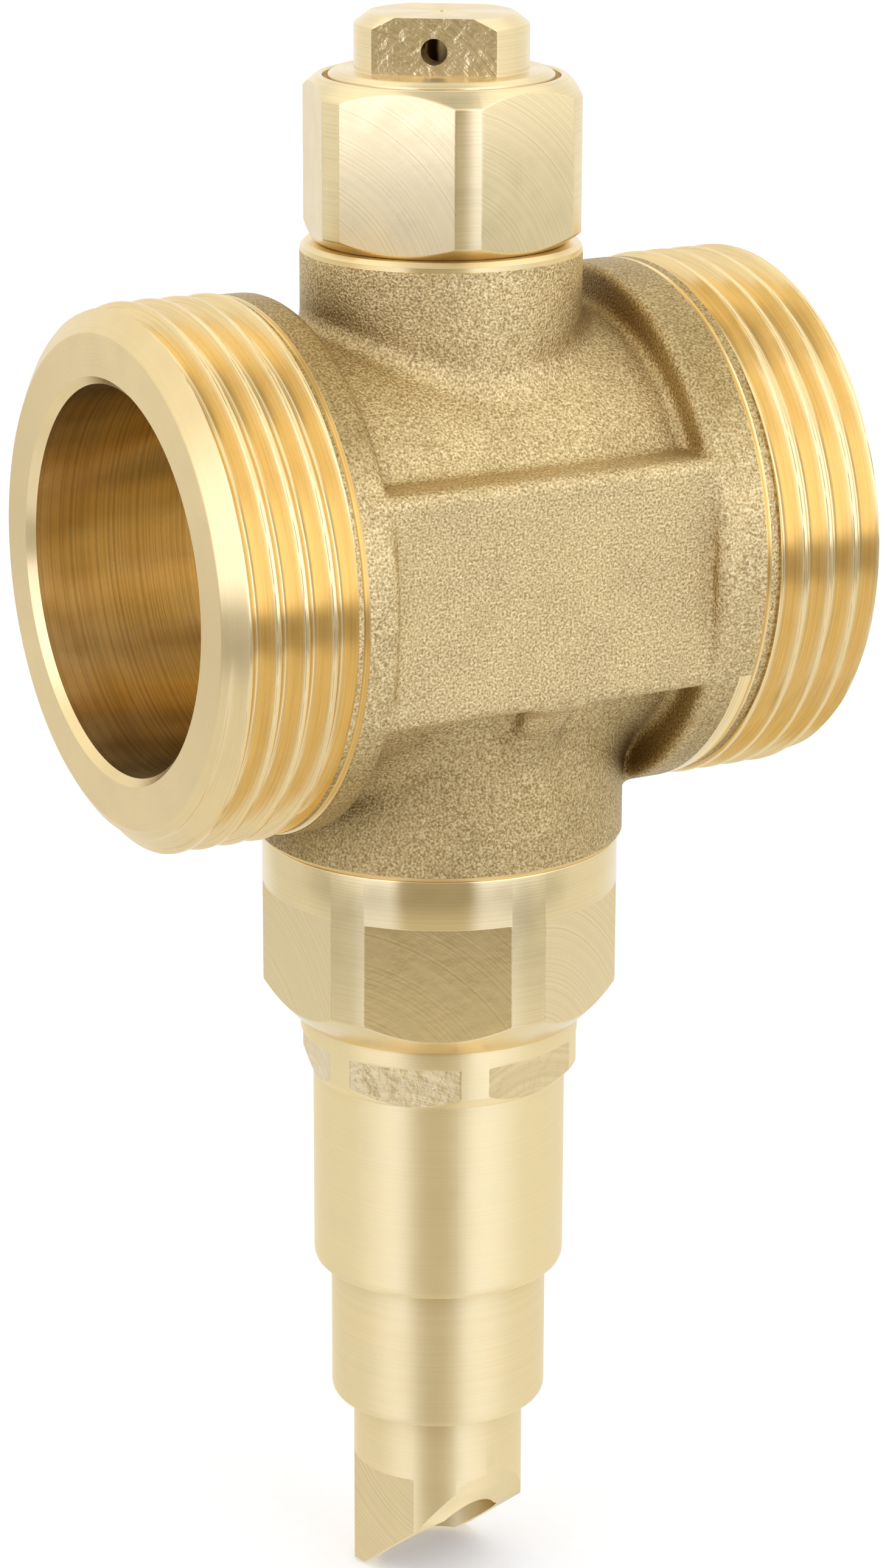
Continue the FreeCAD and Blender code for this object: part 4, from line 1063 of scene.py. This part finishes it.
# The rubber rings and washers: moulded black rubber, matt, with a faint bloom.
# The rings sit in grooves between the screwed pieces, and the washers under the discs that close a seat.

rubber = plain_skin("black_rubber", 0.6, 4.0, [(0.4, grey(0.018)), (0.75, grey(0.05))], bump=(0.25, 0.02),
                    roughness=0.62)
for name in ("vent_poppet_seal", "vent_cap_seal", "adapter_seal", "shutoff_seal", "cartridge_seal",
             "drain_plug_seal", "nozzle_seal"):
    cover(nodes[name], rubber)


# The gasket: a flat ring clamped between the nut and its seat in the top boss.
# It is punched from pressed fibre sheet, dull green-grey with short fibres in it.

fibre = plain_skin("pressed_fibre", 0.3, 5.0, [(0.38, (0.10, 0.13, 0.11)), (0.62, (0.24, 0.27, 0.23))],
                   bump=(0.5, 0.04), roughness=0.85)
cover(nodes["vent_gasket"], fibre)


# The camera: the place that the photograph was taken from, a little above the part and to its left.
# Its distance and lens were fitted to the photograph with the pipe thread's standard size.

CAMERA_AZIMUTH = -29.117
CAMERA_ELEVATION = 16.984
CAMERA_ROLL = 0.181
CAMERA_DISTANCE = 345.99
AIM_RIGHT = 0.216
AIM_UP = -19.141
FOCAL_LENGTH = 101.26
SENSOR = 36.0

azimuth = math.radians(CAMERA_AZIMUTH)
elevation = math.radians(CAMERA_ELEVATION)
back = Vector((math.sin(azimuth) * math.cos(elevation), -math.cos(azimuth) * math.cos(elevation),
               math.sin(elevation)))
level_right = Vector((math.cos(azimuth), math.sin(azimuth), 0))
level_up = back.cross(level_right)
roll = math.radians(CAMERA_ROLL)
right = level_right * math.cos(roll) + level_up * math.sin(roll)
up = level_up * math.cos(roll) - level_right * math.sin(roll)
camera = bpy.data.objects.new("camera", bpy.data.cameras.new("camera"))
camera.data.sensor_width = SENSOR
camera.data.lens = FOCAL_LENGTH
camera.data.clip_start = 0.01
camera.data.clip_end = 20.0
spot = (right * AIM_RIGHT + up * AIM_UP + back * CAMERA_DISTANCE) * MM
camera.matrix_world = Matrix.Translation(spot) @ Matrix((right, up, back)).transposed().to_4x4()
bpy.context.scene.collection.objects.link(camera)
bpy.context.scene.camera = camera


# The floor: a plain white sheet just under the nozzle's tip, which keeps the part's soft shadow.
# It glows a little where it is looked at, and brass mirrors the room in its place.

FLOOR_DROP = 0.3
FLOOR_HALF = 1.5
FLOOR_LIFT = 0.2


def shown_rays(tree, *kinds):
    """1 for rays from the camera and of these kinds, and 0 for all others, such as the light on things."""
    rays = node(tree, "LightPath").outputs
    seen = rays["Is Camera Ray"]
    for kind in kinds:
        seen = maths(tree, "MAXIMUM", seen, rays[kind])
    return seen


def white_floor():
    """A white sheet that shows as white paper and still takes a shadow."""
    material, tree, shader, place = shader_tree("white_floor", metallic=0.0)
    fibres = noise_at(tree, place, 1.5, 3.0)
    tone = ramp(tree, fibres, [(0.3, grey(0.76)), (0.7, grey(0.78))])
    tree.links.new(tone, shader.inputs["Base Color"])
    shader.inputs["Roughness"].default_value = 0.9
    shader.inputs["Emission Color"].default_value = (1, 1, 1, 1)
    glow = maths(tree, "MULTIPLY", shown_rays(tree, "Is Transmission Ray", "Is Glossy Ray"), FLOOR_LIFT)
    tree.links.new(glow, shader.inputs["Emission Strength"])
    return material


floor_mesh = bmesh.new()
bmesh.ops.create_grid(floor_mesh, x_segments=4, y_segments=4, size=FLOOR_HALF)
floor = as_piece("floor", floor_mesh, [white_floor()])
floor.location.z = cad_box[0].z - FLOOR_DROP * MM
floor.visible_glossy = False


# The room: white walls with a tall soft light on each side of the view, and a dimmer stretch between them.
# The ceiling is lit too, apart from a patch right overhead, and brass mirrors all of this as soft bands.
# The background itself shows as plain white.

ROOM_PEAK = 2.6
ABOVE = [(-180, grey(1.0)), (-120, grey(1.0)), (-80, grey(1.1)), (-62, (1.8, 1.85, 2.2)),
         (-30, (1.9, 2.0, 2.5)), (-23, (0.55, 0.5, 0.42)), (19, (0.55, 0.5, 0.42)), (27, (1.9, 2.0, 2.5)),
         (62, (1.9, 2.0, 2.4)), (80, grey(1.2)), (120, grey(1.0)), (180, grey(1.0))]
LEVEL = [(-180, grey(0.9)), (-150, grey(0.95)), (-125, grey(0.8)), (-100, grey(0.78)), (-75, grey(0.5)),
         (-58, grey(0.5)), (-48, (0.7, 0.72, 0.85)), (-32, (0.7, 0.72, 0.85)), (-23, (0.38, 0.35, 0.28)),
         (19, (0.38, 0.35, 0.28)), (28, (0.7, 0.72, 0.85)), (46, (0.6, 0.62, 0.7)), (58, grey(0.45)),
         (75, grey(0.55)), (92, grey(0.85)), (150, grey(0.95)), (180, grey(0.9))]
BELOW = [(-180, grey(0.95)), (-130, grey(0.84)), (-98, grey(0.92)), (-75, grey(0.84)), (-60, grey(0.84)),
         (-48, (1.05, 1.1, 1.35)), (-33, (1.05, 1.1, 1.35)), (-22, (0.74, 0.69, 0.58)),
         (18, (0.74, 0.69, 0.58)), (29, (1.1, 1.15, 1.4)), (50, (1.1, 1.15, 1.35)), (64, grey(0.98)),
         (100, grey(0.92)), (180, grey(0.95))]
CEILING = 1.3
OVERHEAD = 0.5
LEVEL_RISE = (-0.42, -0.34)
ABOVE_RISE = (-0.17, -0.04)
CEILING_RISE = (0.5, 0.75)
OVERHEAD_RISE = (0.91, 0.98)


def mixed(tree, share, low, high):
    """Two colours mixed by a share from 0 to 1, of which the higher may be a plain colour."""
    return node(tree, "Mix", data_type="RGBA", Factor=share, A=low, B=high).outputs["Result"]


def pointing(tree, direction, way):
    """How far a direction points one way, from -1 to 1."""
    made = node(tree, "VectorMath", operation="DOT_PRODUCT", Vector=direction)
    made.inputs[1].default_value = way
    return made.outputs["Value"]


def light_room():
    """The world: plain white where it is seen, and the lit room where brass mirrors it."""
    world = bpy.data.worlds.new("room")
    bpy.context.scene.world = world
    world.use_nodes = True
    tree = world.node_tree
    tree.nodes.clear()
    direction = node(tree, "TexCoord").outputs["Generated"]
    across = pointing(tree, direction, level_right)
    towards = pointing(tree, direction, Vector((back.x, back.y, 0)).normalized())
    bearing = maths(tree, "ARCTAN2", across, towards)
    share = node(tree, "MapRange", Value=bearing, **{"From Min": -math.pi, "From Max": math.pi})
    rings = []
    for stops in (BELOW, LEVEL, ABOVE):
        places = [((angle + 180) / 360, [c / ROOM_PEAK for c in colour]) for angle, colour in stops]
        rings.append(ramp(tree, share.outputs["Result"], places))
    height = node(tree, "SeparateXYZ", Vector=direction).outputs["Z"]
    lit = mixed(tree, eased(tree, height, LEVEL_RISE), rings[0], rings[1])
    lit = mixed(tree, eased(tree, height, ABOVE_RISE), lit, rings[2])
    lit = mixed(tree, eased(tree, height, CEILING_RISE), lit, (*grey(CEILING / ROOM_PEAK), 1.0))
    lit = mixed(tree, eased(tree, height, OVERHEAD_RISE), lit, (*grey(OVERHEAD / ROOM_PEAK), 1.0))
    room = node(tree, "Background", Color=lit, Strength=ROOM_PEAK)
    white = node(tree, "Background", Color=(1, 1, 1, 1), Strength=1.0)
    shown = node(tree, "MixShader", Fac=shown_rays(tree, "Is Transmission Ray"))
    tree.links.new(room.outputs["Background"], shown.inputs[1])
    tree.links.new(white.outputs["Background"], shown.inputs[2])
    node(tree, "OutputWorld", Surface=shown.outputs["Shader"])


light_room()
bpy.context.scene.view_settings.view_transform = "Standard"
